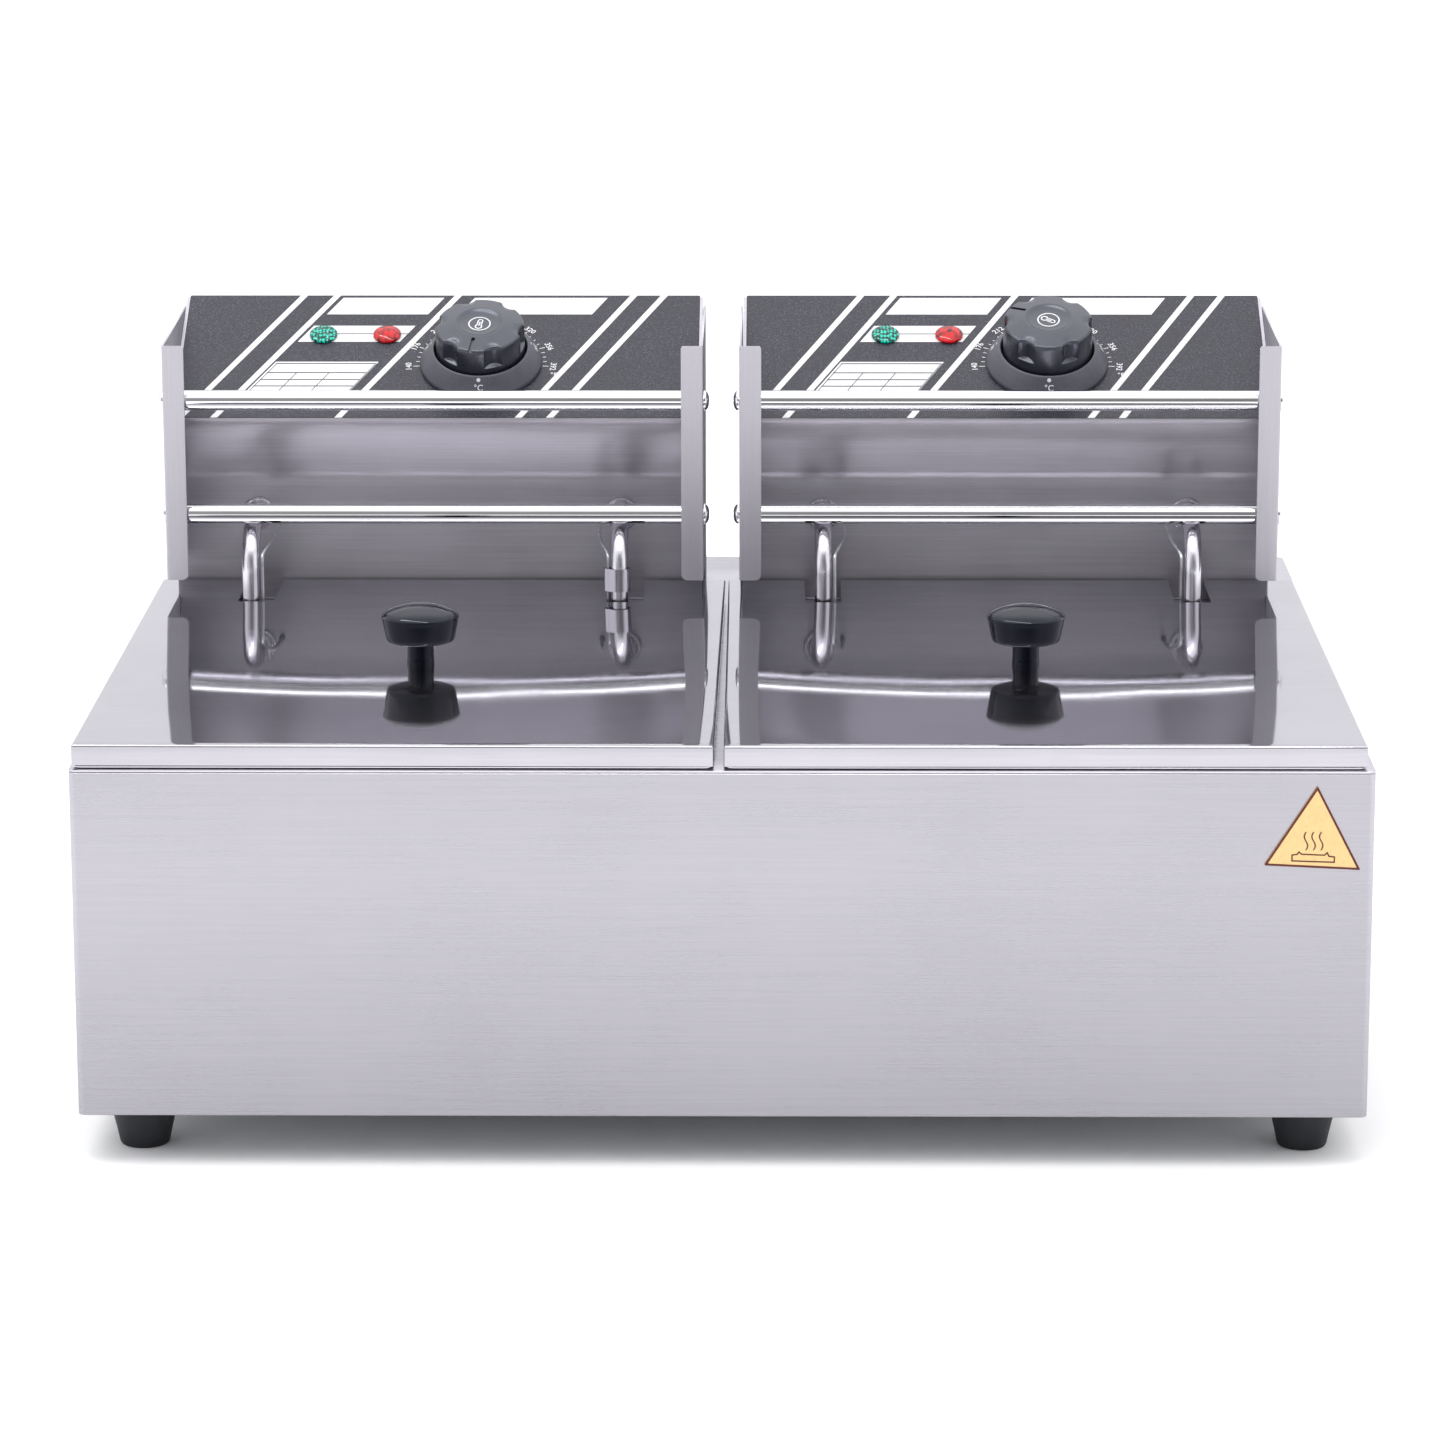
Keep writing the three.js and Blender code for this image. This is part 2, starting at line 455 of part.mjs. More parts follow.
  // operating controls
  put(head, `${side}_knob_bezel`, solid(onPanel(turned([[BEZEL.rIn, GAP], [BEZEL.rOut, GAP],
    [BEZEL.rOut, 2.2], [BEZEL.rIn + 1, BEZEL.top], [BEZEL.rIn, BEZEL.top]], 28), ...KNOB_AT)), BEZEL_GREY);
  const flutes = Array.from({ length: FLUTE.count }, (_, i) => {
    const a = (2 * Math.PI * i) / FLUTE.count;
    const reach = KNOB.r - FLUTE.depth + FLUTE.r;
    return solid(cylinder(FLUTE.r, FLUTE.bottom, KNOB.top + 3, 14)
      .translate(reach * Math.cos(a), reach * Math.sin(a), 0));
  });
  const fall = (KNOB.top - KNOB.edge) / (KNOB.r - 1.6 - KNOB.dish);
  const pointer = new THREE.BoxGeometry(1.2, 8, 3).translate(0, 0, 1.5).rotateX(Math.atan(fall))
    .translate(0, -16.4, KNOB.top - (16.4 - KNOB.dish) * fall - 0.7);
  const knob = cut(
    solid(turned([[0, KNOB.bottom], [KNOB.r, KNOB.bottom], [KNOB.r, KNOB.edge - 1.5],
      [KNOB.r - 0.6, KNOB.edge - 0.4], [KNOB.r - 1.6, KNOB.edge], [KNOB.dish, KNOB.top],
      [KNOB.dish - 1, KNOB.top - 0.2], [6, KNOB.floor + 0.3], [0, KNOB.floor]], 36)),
    ...flutes, solid(pointer), solid(cylinder(SHAFT.r + GAP, KNOB.bottom - 2, KNOB.bore, 12)));
  const turnedKnob = solid(onPanel(geometryOf(knob).rotateZ(THREE.MathUtils.degToRad(at.turn))
    .translate(0, 0, at.proud), ...KNOB_AT));
  put(head, `${side}_temperature_knob`, turnedKnob, PLASTIC);
  for (const [colour, material] of [['green', GREEN], ['red', RED]]) {
    put(head, `${side}_${colour}_lamp`, solid(onPanel(turned([[0, -20], [LAMP.body, -20],
      [LAMP.body, GAP], [LAMP.r, GAP], [LAMP.r, 1.3], [LAMP.r * 0.88, 2.6], [LAMP.r * 0.5, LAMP.dome - 0.2],
      [0, LAMP.dome]], 14), LAMP_U[colour], LAMP_V)), material);
  }
}

export default fryer;
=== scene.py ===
"""A twin-tank countertop deep fryer: its fine surfaces, materials and studio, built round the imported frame.

Shapes are drawn in millimetres in the CAD frame, and piece() turns them into metres.
"""
import functools
import json
import math
import operator

import bmesh
import bpy
from mathutils import Matrix, Vector, noise


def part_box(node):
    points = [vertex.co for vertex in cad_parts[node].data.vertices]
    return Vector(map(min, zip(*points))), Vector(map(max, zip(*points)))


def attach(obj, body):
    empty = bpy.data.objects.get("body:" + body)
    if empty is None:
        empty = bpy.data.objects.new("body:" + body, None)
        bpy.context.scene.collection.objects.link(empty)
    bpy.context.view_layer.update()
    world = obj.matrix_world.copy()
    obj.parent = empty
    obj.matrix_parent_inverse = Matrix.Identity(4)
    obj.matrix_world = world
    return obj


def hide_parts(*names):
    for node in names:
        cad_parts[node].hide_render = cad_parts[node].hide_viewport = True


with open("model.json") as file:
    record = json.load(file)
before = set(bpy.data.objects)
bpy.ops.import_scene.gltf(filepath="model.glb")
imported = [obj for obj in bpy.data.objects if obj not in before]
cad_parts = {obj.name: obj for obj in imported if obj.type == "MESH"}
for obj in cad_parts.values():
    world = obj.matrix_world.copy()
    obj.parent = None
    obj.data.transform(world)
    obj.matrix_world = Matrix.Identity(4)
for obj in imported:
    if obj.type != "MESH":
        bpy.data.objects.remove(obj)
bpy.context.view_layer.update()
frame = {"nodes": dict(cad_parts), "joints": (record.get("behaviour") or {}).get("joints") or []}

MM = 0.001
nodes = frame["nodes"]


# ---------------------------------------------------------------- shapes
class Shape:
    """A closed surface, or several: points in millimetres and the faces between them."""

    def __init__(self, points, faces):
        self.points = [Vector(p) for p in points]
        self.faces = [tuple(f) for f in faces]

    def __add__(self, other):
        start = len(self.points)
        return Shape(self.points + other.points,
                     self.faces + [tuple(i + start for i in f) for f in other.faces])

    def at(self, matrix):
        return Shape([matrix @ p for p in self.points], self.faces)

    def moved(self, x=0, y=0, z=0):
        return self.at(Matrix.Translation((x, y, z)))


def joined(shapes):
    return functools.reduce(operator.add, shapes)


def linked(name, data):
    """A new object in the scene that holds the data."""
    obj = bpy.data.objects.new(name, data)
    bpy.context.scene.collection.objects.link(obj)
    return obj


def evaluated(obj):
    return obj.evaluated_get(bpy.context.evaluated_depsgraph_get())


def shape_of(mesh):
    return Shape([v.co.copy() for v in mesh.vertices], [tuple(p.vertices) for p in mesh.polygons])


def mesh_of(shape, name="shape", scale=1.0):
    """A mesh of the shape, its faces turned outwards."""
    mesh = bpy.data.meshes.new(name)
    mesh.from_pydata([p * scale for p in shape.points], [], shape.faces)
    work = bmesh.new()
    work.from_mesh(mesh)
    bmesh.ops.recalc_face_normals(work, faces=work.faces)
    work.to_mesh(mesh)
    work.free()
    return mesh


PLACES = {
    "X": lambda a, b, c: (c, a, b),
    "Y": lambda a, b, c: (a, c, b),
    "Z": lambda a, b, c: (a, b, c),
}


def prism(outline, low, high, axis="Z"):
    """An outline in the plane across the axis, drawn out between two stations on that axis."""
    place, n = PLACES[axis], len(outline)
    points = [place(a, b, c) for c in (low, high) for a, b in outline]
    faces = [tuple(range(n)), tuple(range(n, 2 * n))]
    faces += [(i, (i + 1) % n, n + (i + 1) % n, n + i) for i in range(n)]
    return Shape(points, faces)


def block(x0, x1, y0, y1, z0, z1):
    return prism([(x0, y0), (x1, y0), (x1, y1), (x0, y1)], z0, z1)


def turned(profile, segments=48, shaped=None):
    """Turned about +Z from (radius, height) pairs; it closes on the axis or on itself. Where
    shaped is given, it turns a radius, height and angle into the radius there."""
    turns = [2 * math.pi * k / segments for k in range(segments)]
    points, rings = [], []
    for radius, height in profile:
        if radius == 0:
            rings.append([len(points)] * segments)
            points.append((0, 0, height))
            continue
        rings.append(list(range(len(points), len(points) + segments)))
        for a in turns:
            r = shaped(radius, height, a) if shaped else radius
            points.append((r * math.cos(a), r * math.sin(a), height))
    pairs = list(zip(rings, rings[1:]))
    if profile[0][0] > 0:
        pairs.append((rings[-1], rings[0]))
    faces = []
    for low, high in pairs:
        for k in range(segments):
            n = (k + 1) % segments
            corners = tuple(dict.fromkeys((low[k], low[n], high[n], high[k])))
            if len(corners) > 2:
                faces.append(corners)
    return Shape(points, faces)


def rod(radius, low, high, segments=36):
    """A plain round rod or cutter along +Z."""
    return turned([(0, low), (radius, low), (radius, high), (0, high)], segments)


TO_BACK = Matrix.Rotation(-math.pi / 2, 4, "X")     # lays a turned shape's axis along +Y
TO_RIGHT = Matrix.Rotation(math.pi / 2, 4, "Y")     # and along +X


def quarter(steps):
    """Points of a quarter turn, from (0, 0) to (1, 1), leaving along the first axis."""
    turns = [math.pi / 2 * k / steps for k in range(steps + 1)]
    return [(math.sin(a), 1 - math.cos(a)) for a in turns]


def rounded(corners, radii, steps=5, closed=True):
    """Corners, in two or three dimensions, with each one rounded by its arc."""
    corners = [Vector(c) for c in corners]
    n = len(corners)
    if not hasattr(radii, "__len__"):
        radii = [radii] * n
    line = []
    for i, p in enumerate(corners):
        if radii[i] == 0 or (not closed and i in (0, n - 1)):
            line.append(p)
            continue
        a, b = (corners[i - 1] - p).normalized(), (corners[(i + 1) % n] - p).normalized()
        half = a.angle(b) / 2
        sweep = math.pi - 2 * half
        centre = p + (a + b).normalized() * (radii[i] / math.sin(half))
        start = p + a * (radii[i] / math.tan(half)) - centre
        end = p + b * (radii[i] / math.tan(half)) - centre
        for k in range(steps + 1):
            t = k / steps
            line.append(centre + (start * math.sin((1 - t) * sweep) + end * math.sin(t * sweep))
                        / math.sin(sweep))
    return line


def rectangle(x0, x1, y0, y1, radius, steps=5):
    return rounded([(x0, y0), (x1, y0), (x1, y1), (x0, y1)], radius, steps)


def inset(outline, distances):
    """Every edge of a closed outline moved inwards by its own distance."""
    n = len(outline)
    area = sum(outline[i][0] * outline[(i + 1) % n][1] - outline[i][1] * outline[(i + 1) % n][0]
               for i in range(n))
    lines = []
    for i, (a, b) in enumerate(outline):
        c, d = outline[(i + 1) % n]
        length = math.copysign(math.hypot(c - a, d - b), area)
        normal = (-(d - b) / length, (c - a) / length)
        lines.append((normal, normal[0] * a + normal[1] * b + distances[i]))
    points = []
    for i, ((c, d), here) in enumerate(lines):
        (a, b), last = lines[i - 1]
        det = a * d - b * c
        points.append(((last * d - here * b) / det, (a * here - c * last) / det))
    return points


def loft(rings, closed=False):
    """Skin over rings of equal count, capped at both ends or closed on itself."""
    n = len(rings[0])
    points = [p for ring in rings for p in ring]
    count = len(rings)
    faces = []
    for r in range(count if closed else count - 1):
        a, b = r * n, ((r + 1) % count) * n
        faces += [(a + i, a + (i + 1) % n, b + (i + 1) % n, b + i) for i in range(n)]
    if not closed:
        faces += [tuple(range(n)), tuple(range((count - 1) * n, count * n))]
    return Shape(points, faces)


def pan_ring(box, out, radius, z, steps=6):
    """The rounded rectangle (x0, x1, y0, y1), grown outwards, at one height."""
    x0, x1, y0, y1 = box
    line = rectangle(x0 - out, x1 + out, y0 - out, y1 + out, max(radius, 0.05), steps)
    return [(p[0], p[1], z) for p in line]


def section(p, across, up, radius, sides):
    """One round section of a tube."""
    turns = [2 * math.pi * k / sides for k in range(sides)]
    return [p + (across * math.cos(a) + up * math.sin(a)) * radius for a in turns]


def tube(path, radius, sides=10):
    """A round rod along an open path, its section carried along without twist."""
    path = [Vector(p) for p in path]
    last = len(path) - 1
    tangents = [(path[min(i + 1, last)] - path[max(i - 1, 0)]).normalized() for i in range(last + 1)]
    across = tangents[0].orthogonal().normalized()
    rings = []
    for p, tangent in zip(path, tangents):
        across = (across - tangent * across.dot(tangent)).normalized()
        rings.append(section(p, across, tangent.cross(across), radius, sides))
    return loft(rings)


def hoop(path, radius, sides=8):
    """A round rod along a closed, level path."""
    path = [Vector(p) for p in path]
    rings = []
    for i, p in enumerate(path):
        tangent = (path[(i + 1) % len(path)] - path[i - 1]).normalized()
        across = tangent.cross(Vector((0, 0, 1))).normalized()
        rings.append(section(p, across, across.cross(tangent), radius, sides))
    return loft(rings, closed=True)


def smooth(stations, per_span=5):
    """A Catmull-Rom line through the stations."""
    pts = [Vector(p) for p in stations]
    pts = [pts[0] * 2 - pts[1], *pts, pts[-1] * 2 - pts[-2]]
    line = []
    for i in range(1, len(pts) - 2):
        a, b, c, d = pts[i - 1:i + 3]
        for k in range(per_span):
            t = k / per_span
            line.append(((b * 2) + (c - a) * t + (a * 2 - b * 5 + c * 4 - d) * t * t
                         + (b * 3 - a - c * 3 + d) * t ** 3) / 2)
    line.append(pts[-2])
    return line


def boolean(base, *others, how="DIFFERENCE"):
    """The base with the other shapes cut away, joined or kept in common, by exact booleans."""
    made = [linked("work", mesh_of(shape)) for shape in (base, *others)]
    for other in made[1:]:
        step = made[0].modifiers.new("step", "BOOLEAN")
        step.object, step.operation, step.solver = other, how, "EXACT"
    shape = shape_of(evaluated(made[0]).to_mesh())
    for obj in made:
        mesh = obj.data
        bpy.data.objects.remove(obj)
        bpy.data.meshes.remove(mesh)
    return shape


def lettering(text, height, deep):
    """Figures in the built-in font, centred on the origin in the XY plane, as solid shapes."""
    curve = bpy.data.curves.new("figures", "FONT")
    curve.body, curve.size, curve.extrude = text, height * 1.4, deep / 2
    curve.align_x, curve.align_y = "CENTER", "CENTER"
    curve.resolution_u = 3
    curve.offset = height * 0.016
    obj = linked("figures", curve)
    mesh = bpy.data.meshes.new_from_object(evaluated(obj))
    work = bmesh.new()
    work.from_mesh(mesh)
    bmesh.ops.remove_doubles(work, verts=work.verts, dist=1e-4)
    work.to_mesh(mesh)
    work.free()
    shape = shape_of(mesh)
    bpy.data.meshes.remove(mesh)
    bpy.data.objects.remove(obj)
    bpy.data.curves.remove(curve)
    return shape


def piece(name, shape, body, material, slot, replaces=(), crease=32):
    """A visible piece riding on a CAD body, its edges sharp above the crease angle in degrees."""
    mesh = mesh_of(shape, name, MM)
    mesh.materials.append(material)
    mesh.shade_smooth()
    mesh.set_sharp_from_angle(angle=math.radians(crease))
    obj = linked(name, mesh)
    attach(obj, body)
    if replaces:
        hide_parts(*replaces)


def extent(node):
    """Lowest and highest corner of a CAD node in millimetres."""
    low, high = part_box(node)
    return low / MM, high / MM


def centre(node):
    low, high = extent(node)
    return (low + high) / 2


# ---------------------------------------------------------------- materials
def linear(r, g, b):
    """Colour given as 8-bit sRGB, as the shader takes it."""
    def one(c):
        c /= 255
        return c / 12.92 if c <= 0.04045 else ((c + 0.055) / 1.055) ** 2.4
    return (one(r), one(g), one(b), 1.0)


class Nodes:
    """The node tree of a material or world, cleared and built up node by node."""

    def __init__(self, owner):
        owner.use_nodes = True
        self.tree = owner.node_tree
        self.tree.nodes.clear()

    def feed(self, socket, value):
        """A number or colour set on a socket, or another socket linked to it."""
        if hasattr(value, "links"):
            self.tree.links.new(value, socket)
        else:
            socket.default_value = value

    def add(self, kind, inputs=None, **props):
        node = self.tree.nodes.new("ShaderNode" + kind)
        for key, value in props.items():
            setattr(node, key, value)
        for key, value in (inputs or {}).items():
            self.feed(node.inputs[key], value)
        return node

    def math(self, operation, a, b):
        return self.add("Math", {0: a, 1: b}, operation=operation).outputs["Value"]

    def blend(self, a, b, share):
        """A share of a with the rest of b."""
        rest = 1 - share if isinstance(share, float) else self.math("SUBTRACT", 1.0, share)
        return self.math("ADD", self.math("MULTIPLY", a, share), self.math("MULTIPLY", b, rest))

    def spread(self, value, start, end, low, high, kind="LINEAR"):
        """A value that runs from low to high as the given one runs from start to end."""
        ends = {"Value": value, "From Min": start, "From Max": end, "To Min": low, "To Max": high}
        return self.add("MapRange", ends, interpolation_type=kind).outputs["Result"]


class Material(Nodes):
    """A node material round one Principled shader."""

    def __init__(self, name, **constants):
        self.data = bpy.data.materials.new(name)
        super().__init__(self.data)
        self.shader = self.add("BsdfPrincipled", constants)
        self.add("OutputMaterial", {"Surface": self.shader.outputs["BSDF"]})
        self.coords = self.add("TexCoord").outputs["Object"]

    def drive(self, socket, source):
        self.feed(self.shader.inputs[socket], source)

    def noise(self, scale, stretch=(1, 1, 1), detail=3.0, rough=0.55):
        """Noise with this many features to the metre, closer along the stretched axes."""
        place = self.add("Mapping", {"Vector": self.coords, "Scale": stretch}).outputs["Vector"]
        return self.add("TexNoise", {"Vector": place, "Scale": scale, "Detail": detail,
                                     "Roughness": rough}).outputs["Fac"]

    def colour(self, factor, stops):
        ramp = self.add("ValToRGB", {"Fac": factor})
        elements = ramp.color_ramp.elements
        while len(elements) < len(stops):
            elements.new(0.5)
        for element, (position, colour) in zip(elements, stops):
            element.position, element.color = position, colour
        self.drive("Base Color", ramp.outputs["Color"])

    def rough(self, factor, low, high, ends=(0.3, 0.7)):
        self.drive("Roughness", self.spread(factor, *ends, low, high))

    def bumps(self, *layers):
        """Layers of (height, millimetres) laid over each other."""
        normal = None
        for height, deep in layers:
            under = {"Normal": normal} if normal else {}
            normal = self.add("Bump", {"Height": height, "Distance": deep * MM, "Strength": 1.0,
                                       **under}).outputs["Normal"]
        self.drive("Normal", normal)

    def finish(self, mottle, stops, gloss, roughness, *layers, ends=(0.3, 0.7)):
        """Colour by one factor, roughness by another, and bumps."""
        self.colour(mottle, stops)
        self.rough(gloss, *roughness, ends)
        self.bumps(*layers)
        return self.data


def tone(colour, factor):
    return tuple(min(1.0, c * factor) for c in colour[:3]) + (1.0,)


GRAIN = {"X": (0.012, 1, 1), "XY": (0.012, 0.012, 1), "Z": (1, 1, 0.012)}
LAVENDER = (1.03, 1.0, 1.08)     # the faint cast of the steel under studio light


def steel(name, reflectance=0.58, roughness=(0.28, 0.38), grain="X", lines=0.10, hair=0.004, wave=0.03,
          wave_scale=11, across=0.0, about=("Z", 0.25), haze=0.0, painted_shade=None):
    """Stainless sheet brushed along one axis, with faint stains and waviness.

    across stretches reflections along the tangent about an axis, turned by a share of a circle; haze lays
    a soft sheen over sharp reflections; the last argument paints shade, darkening the colour below a height
    in metres.
    """
    axis, turn = about
    m = Material(name, Metallic=1.0, Anisotropic=across,
                 **{"Anisotropic Rotation": turn, "Specular Tint": (0.85, 0.85, 0.87, 1.0),
                    "Coat Weight": haze, "Coat Roughness": 0.36})
    if across:
        m.drive("Tangent", m.add("Tangent", direction_type="RADIAL", axis=axis).outputs["Tangent"])
    colour = tuple(reflectance * c for c in LAVENDER)
    brush = m.noise(900, GRAIN[grain], 3, 0.65)
    scratch = m.noise(2100, GRAIN[grain], 2, 0.5)
    mixed = m.blend(m.blend(brush, scratch, 0.6), m.noise(14, detail=4), 0.55)
    m.colour(mixed, [(0.40, tone(colour, 1 - lines)), (0.5, tone(colour, 1)),
                     (0.60, tone(colour, 1 + lines))])
    # Painted shade: the colour darkens towards the bottom of the sheet, standing in for the dim floor its
    # lower part reflects.
    if painted_shade:
        (low, high), depth = painted_shade
        height = m.add("SeparateXYZ", {"Vector": m.coords}).outputs["Z"]
        even = m.shader.inputs["Base Color"].links[0].from_socket
        painted_shade_colour = m.add("VectorMath", {0: even, 1: m.spread(height, low, high, 1 - depth, 1.0)},
                       operation="MULTIPLY")
        m.drive("Base Color", painted_shade_colour.outputs["Vector"])
    m.rough(mixed, *roughness, (0.4, 0.6))
    m.bumps((m.noise(wave_scale, detail=1), wave), (brush, hair))
    return m.data


def chrome(name, colour=(0.78, 0.785, 0.80, 1.0), wave=0.012, roughness=(0.035, 0.09)):
    """Bright plating over drawn bar: long drawing lines and faint ripples."""
    m = Material(name, Metallic=1.0)
    drawn = m.noise(700, GRAIN["X"], 3)
    smear = m.noise(60, detail=4)
    stops = [(0.35, tone(colour, 0.95)), (0.65, tone(colour, 1.04))]
    return m.finish(m.blend(drawn, smear, 0.5), stops, smear, roughness, (m.noise(45, detail=2), wave),
                    (drawn, 0.001))


def plastic(name, colour, roughness, texture=0.01, scale=900, spread=0.25, index=1.5):
    """Moulded plastic: a fine moulded texture, handling marks in the gloss."""
    m = Material(name, IOR=index, **{"Specular Tint": (0.86, 0.90, 1.0, 1.0)})
    moulded = m.noise(scale, detail=3)
    handled = m.noise(70, detail=4)
    stops = [(0.3, tone(colour, 1 - spread)), (0.7, tone(colour, 1 + spread))]
    return m.finish(m.blend(moulded, handled, 0.4), stops, handled, roughness, (moulded, texture))


def speckled_film(name):
    """Charcoal printed film with a fine light speckle and a satin, slightly pebbled face."""
    m = Material(name, IOR=1.42)
    speck = m.noise(1500, detail=2, rough=0.7)
    cloud = m.noise(25, detail=3)
    stops = [(0.38, (0.011, 0.011, 0.017, 1)), (0.55, (0.024, 0.024, 0.036, 1)),
             (0.68, (0.11, 0.11, 0.14, 1))]
    return m.finish(m.blend(speck, cloud, 0.85), stops, cloud, (0.36, 0.5), (speck, 0.012))


def ink(name, colour, spread=0.06):
    """Printed ink: almost even, slightly mottled, satin."""
    m = Material(name, IOR=1.45)
    mottle = m.noise(420, detail=3)
    stops = [(0.3, tone(colour, 1 - spread)), (0.7, tone(colour, 1 + spread))]
    return m.finish(mottle, stops, mottle, (0.35, 0.5), (mottle, 0.006))


def lens(name, deep, clear, cells=0.0):
    """A coloured signal lens, cut in cells or plain: clear in the middle and deep towards the rim, the rim's
    depth a painted shade set by the viewing angle; on a cut lens each cell carries a painted glint, bright in
    its middle and dark at its edges.
    """
    m = Material(name, IOR=1.49)
    swirl_and_glint = m.noise(380, detail=3)
    if cells:
        # Painted glints: each cell is bright in its middle and shaded towards its edges.
        facets = m.add("TexVoronoi", {"Vector": m.coords, "Scale": cells, "Randomness": 0.35})
        facet_glint = m.math("SUBTRACT", 1.0, m.math("MULTIPLY", facets.outputs["Distance"], 1.3))
        swirl_and_glint = m.blend(swirl_and_glint, facet_glint, 0.2)
    # Painted shade: the colour deepens towards the rim as the surface turns away from view.
    rim = m.add("LayerWeight", {"Blend": 0.35}).outputs["Facing"]
    lit = m.math("SUBTRACT", swirl_and_glint, m.math("MULTIPLY", m.math("POWER", rim, 3.0), 0.6))
    return m.finish(lit, [(0.32, deep), (0.56, clear)], swirl_and_glint, (0.03, 0.08), (swirl_and_glint, 0.03))


def galvanised(name):
    """Zinc spangle over sheet steel."""
    m = Material(name, Metallic=0.9)
    flakes = m.add("TexVoronoi", {"Vector": m.coords, "Scale": 160.0}).outputs["Color"]
    grey = m.add("RGBToBW", {"Color": flakes}).outputs["Val"]
    stops = [(0.1, (0.42, 0.43, 0.45, 1)), (0.9, (0.64, 0.65, 0.67, 1))]
    return m.finish(grey, stops, grey, (0.3, 0.5), (m.noise(300, detail=4), 0.01), ends=(0.0, 1.0))


# The casing's colour carries painted shade, darker towards its foot.
casing_steel = steel("casing_steel", 0.465, (0.26, 0.31), "XY", lines=0.06, wave=0.02, wave_scale=8,
                     across=0.9, painted_shade=((0.02, 0.13), 0.22))
deck_steel = steel("deck_steel", 0.56, (0.24, 0.32), lines=0.06)
head_steel = steel("head_steel", 0.50, (0.42, 0.47), "XY", wave=0.012, across=0.45, about=("X", 0.0))
cheek_steel = steel("cheek_steel", 0.54, (0.44, 0.52), "Z", lines=0.06, wave=0.01, across=0.8,
                    about=("Z", 0.0))
lid_steel = steel("lid_steel", 0.46, (0.035, 0.06), lines=0.05, hair=0.0003, wave=0.0, haze=0.22)
pot_steel = steel("pot_steel", 0.58, (0.18, 0.30), lines=0.05, wave=0.02)
tube_steel = steel("tube_steel", 0.68, (0.16, 0.28), "Z", lines=0.12, wave=0.0)
clip_steel = steel("clip_steel", 0.64, (0.15, 0.25), "Z", lines=0.08, wave=0.02)
bar_chrome = chrome("bar_chrome")
wire_chrome = chrome("wire_chrome", (0.80, 0.80, 0.81, 1), 0.004, (0.08, 0.16))
zinc = galvanised("zinc")
film = speckled_film("panel_film")
white_ink = ink("white_ink", (0.66, 0.66, 0.67, 1))
grey_ink = ink("grey_ink", (0.05, 0.05, 0.06, 1))
amber_ink = ink("amber_ink", linear(230, 198, 138))
brown_ink = ink("brown_ink", linear(92, 30, 24))
knob_black = plastic("knob_black", (0.014, 0.015, 0.023, 1), (0.25, 0.33), 0.0015, index=1.80)
gloss_black = plastic("gloss_black", (0.003, 0.004, 0.010, 1), (0.02, 0.04), 0.001, 300, index=1.40)
bezel_grey = plastic("bezel_grey", (0.068, 0.069, 0.084, 1), (0.36, 0.46), 0.010)
rubber = plastic("rubber", (0.012, 0.012, 0.013, 1), (0.55, 0.75), 0.03, 500)
ceramic = plastic("ceramic", (0.72, 0.69, 0.62, 1), (0.3, 0.5), 0.02, 400, 0.06)
red_plastic = plastic("red_plastic", (0.55, 0.02, 0.02, 1), (0.15, 0.3), 0.004)
green_lens = lens("green_lens", (0.0, 0.035, 0.028, 1), (0.0, 0.66, 0.48, 1), cells=620)
red_lens = lens("red_lens", (0.05, 0.0, 0.001, 1), (0.62, 0.006, 0.010, 1))


# ---------------------------------------------------------------- driving dimensions
SHEET = 1.0
GAP = 0.3
FOLD = 0.9                       # outer radius of a folded sheet edge
POT_BOX = (-117.5, 117.5, -195.0, 100.0)             # inside the walls, about the tank's middle
POT_CORNER, POT_FLOOR = 25.0, 38.0
HEAD_FRONT, HEAD_BACK, HEAD_BEND = 117.0, 178.0, 233.0
PANEL_T, PANEL_LIP, PANEL_REAR_LIP = 1.2, 3.0, 9.0
LEG_X, LEG_Y, LEG_R, LEG_EXIT_Z, LEG_BEND, COIL_Z = 87.0, 73.0, 4.1, 217.0, 20.0, 50.0
COIL_RUNS, COIL_FRONT, COIL_BACK = 6, -160.0, 30.0
LINE_X, LINE_Z = LEG_X - 10.5, 213.0                 # where a sensing line leaves the head
CAPILLARY_R, CAPILLARY_OFF = 0.8, 5.4
LID_SAG = 1.6                    # the lids' tops dish a little towards the middle
LID_SKEW = math.radians(0.25)    # the lids' rear ends lean together by this much


class Side:
    """Where one half of the fryer stands, read from the frame."""

    def __init__(self, name):
        self.name = name
        self.head, self.lid = name + "_head", name + "_lid"
        self.panel_low, self.panel_high = low, high = extent(name + "_control_panel")
        self.head_x, self.half_x = (low.x + high.x) / 2, (high.x - low.x) / 2
        self.tank_x = centre(name + "_oil_pot").x
        self.probe = 1 if centre(name + "_sensor_clip").x > self.head_x else -1
        self.lip_z = low.z + PANEL_LIP
        slope = math.atan2(high.z - self.lip_z, high.y - low.y)
        self.panel = (Matrix.Translation((self.head_x, low.y, self.lip_z))
                      @ Matrix.Rotation(slope, 4, "X"))
        turn = next(j for j in frame["joints"] if j["name"] == name + "_knob_turn")
        self.dial = self.panel.inverted() @ (Vector(turn["pos_m"]) / MM)
        self.dial_place = self.on_panel(self.dial.x, self.dial.y)
        turned_by, proud = (-10.4, 0.0) if self.head_x < 0 else (-122.0, 2.4)
        self.knob_place = (self.dial_place @ Matrix.Translation((0, 0, proud))
                           @ Matrix.Rotation(math.radians(turned_by), 4, "Z"))

    def on_panel(self, u, v):
        """The frame standing on the panel, u across from its middle and v up its slope."""
        return self.panel @ Matrix.Translation((u, v, 0))

    def node(self, suffix):
        return f"{self.name}_{suffix}"

    def extent(self, suffix):
        return extent(self.node(suffix))

    def centre(self, suffix):
        return centre(self.node(suffix))


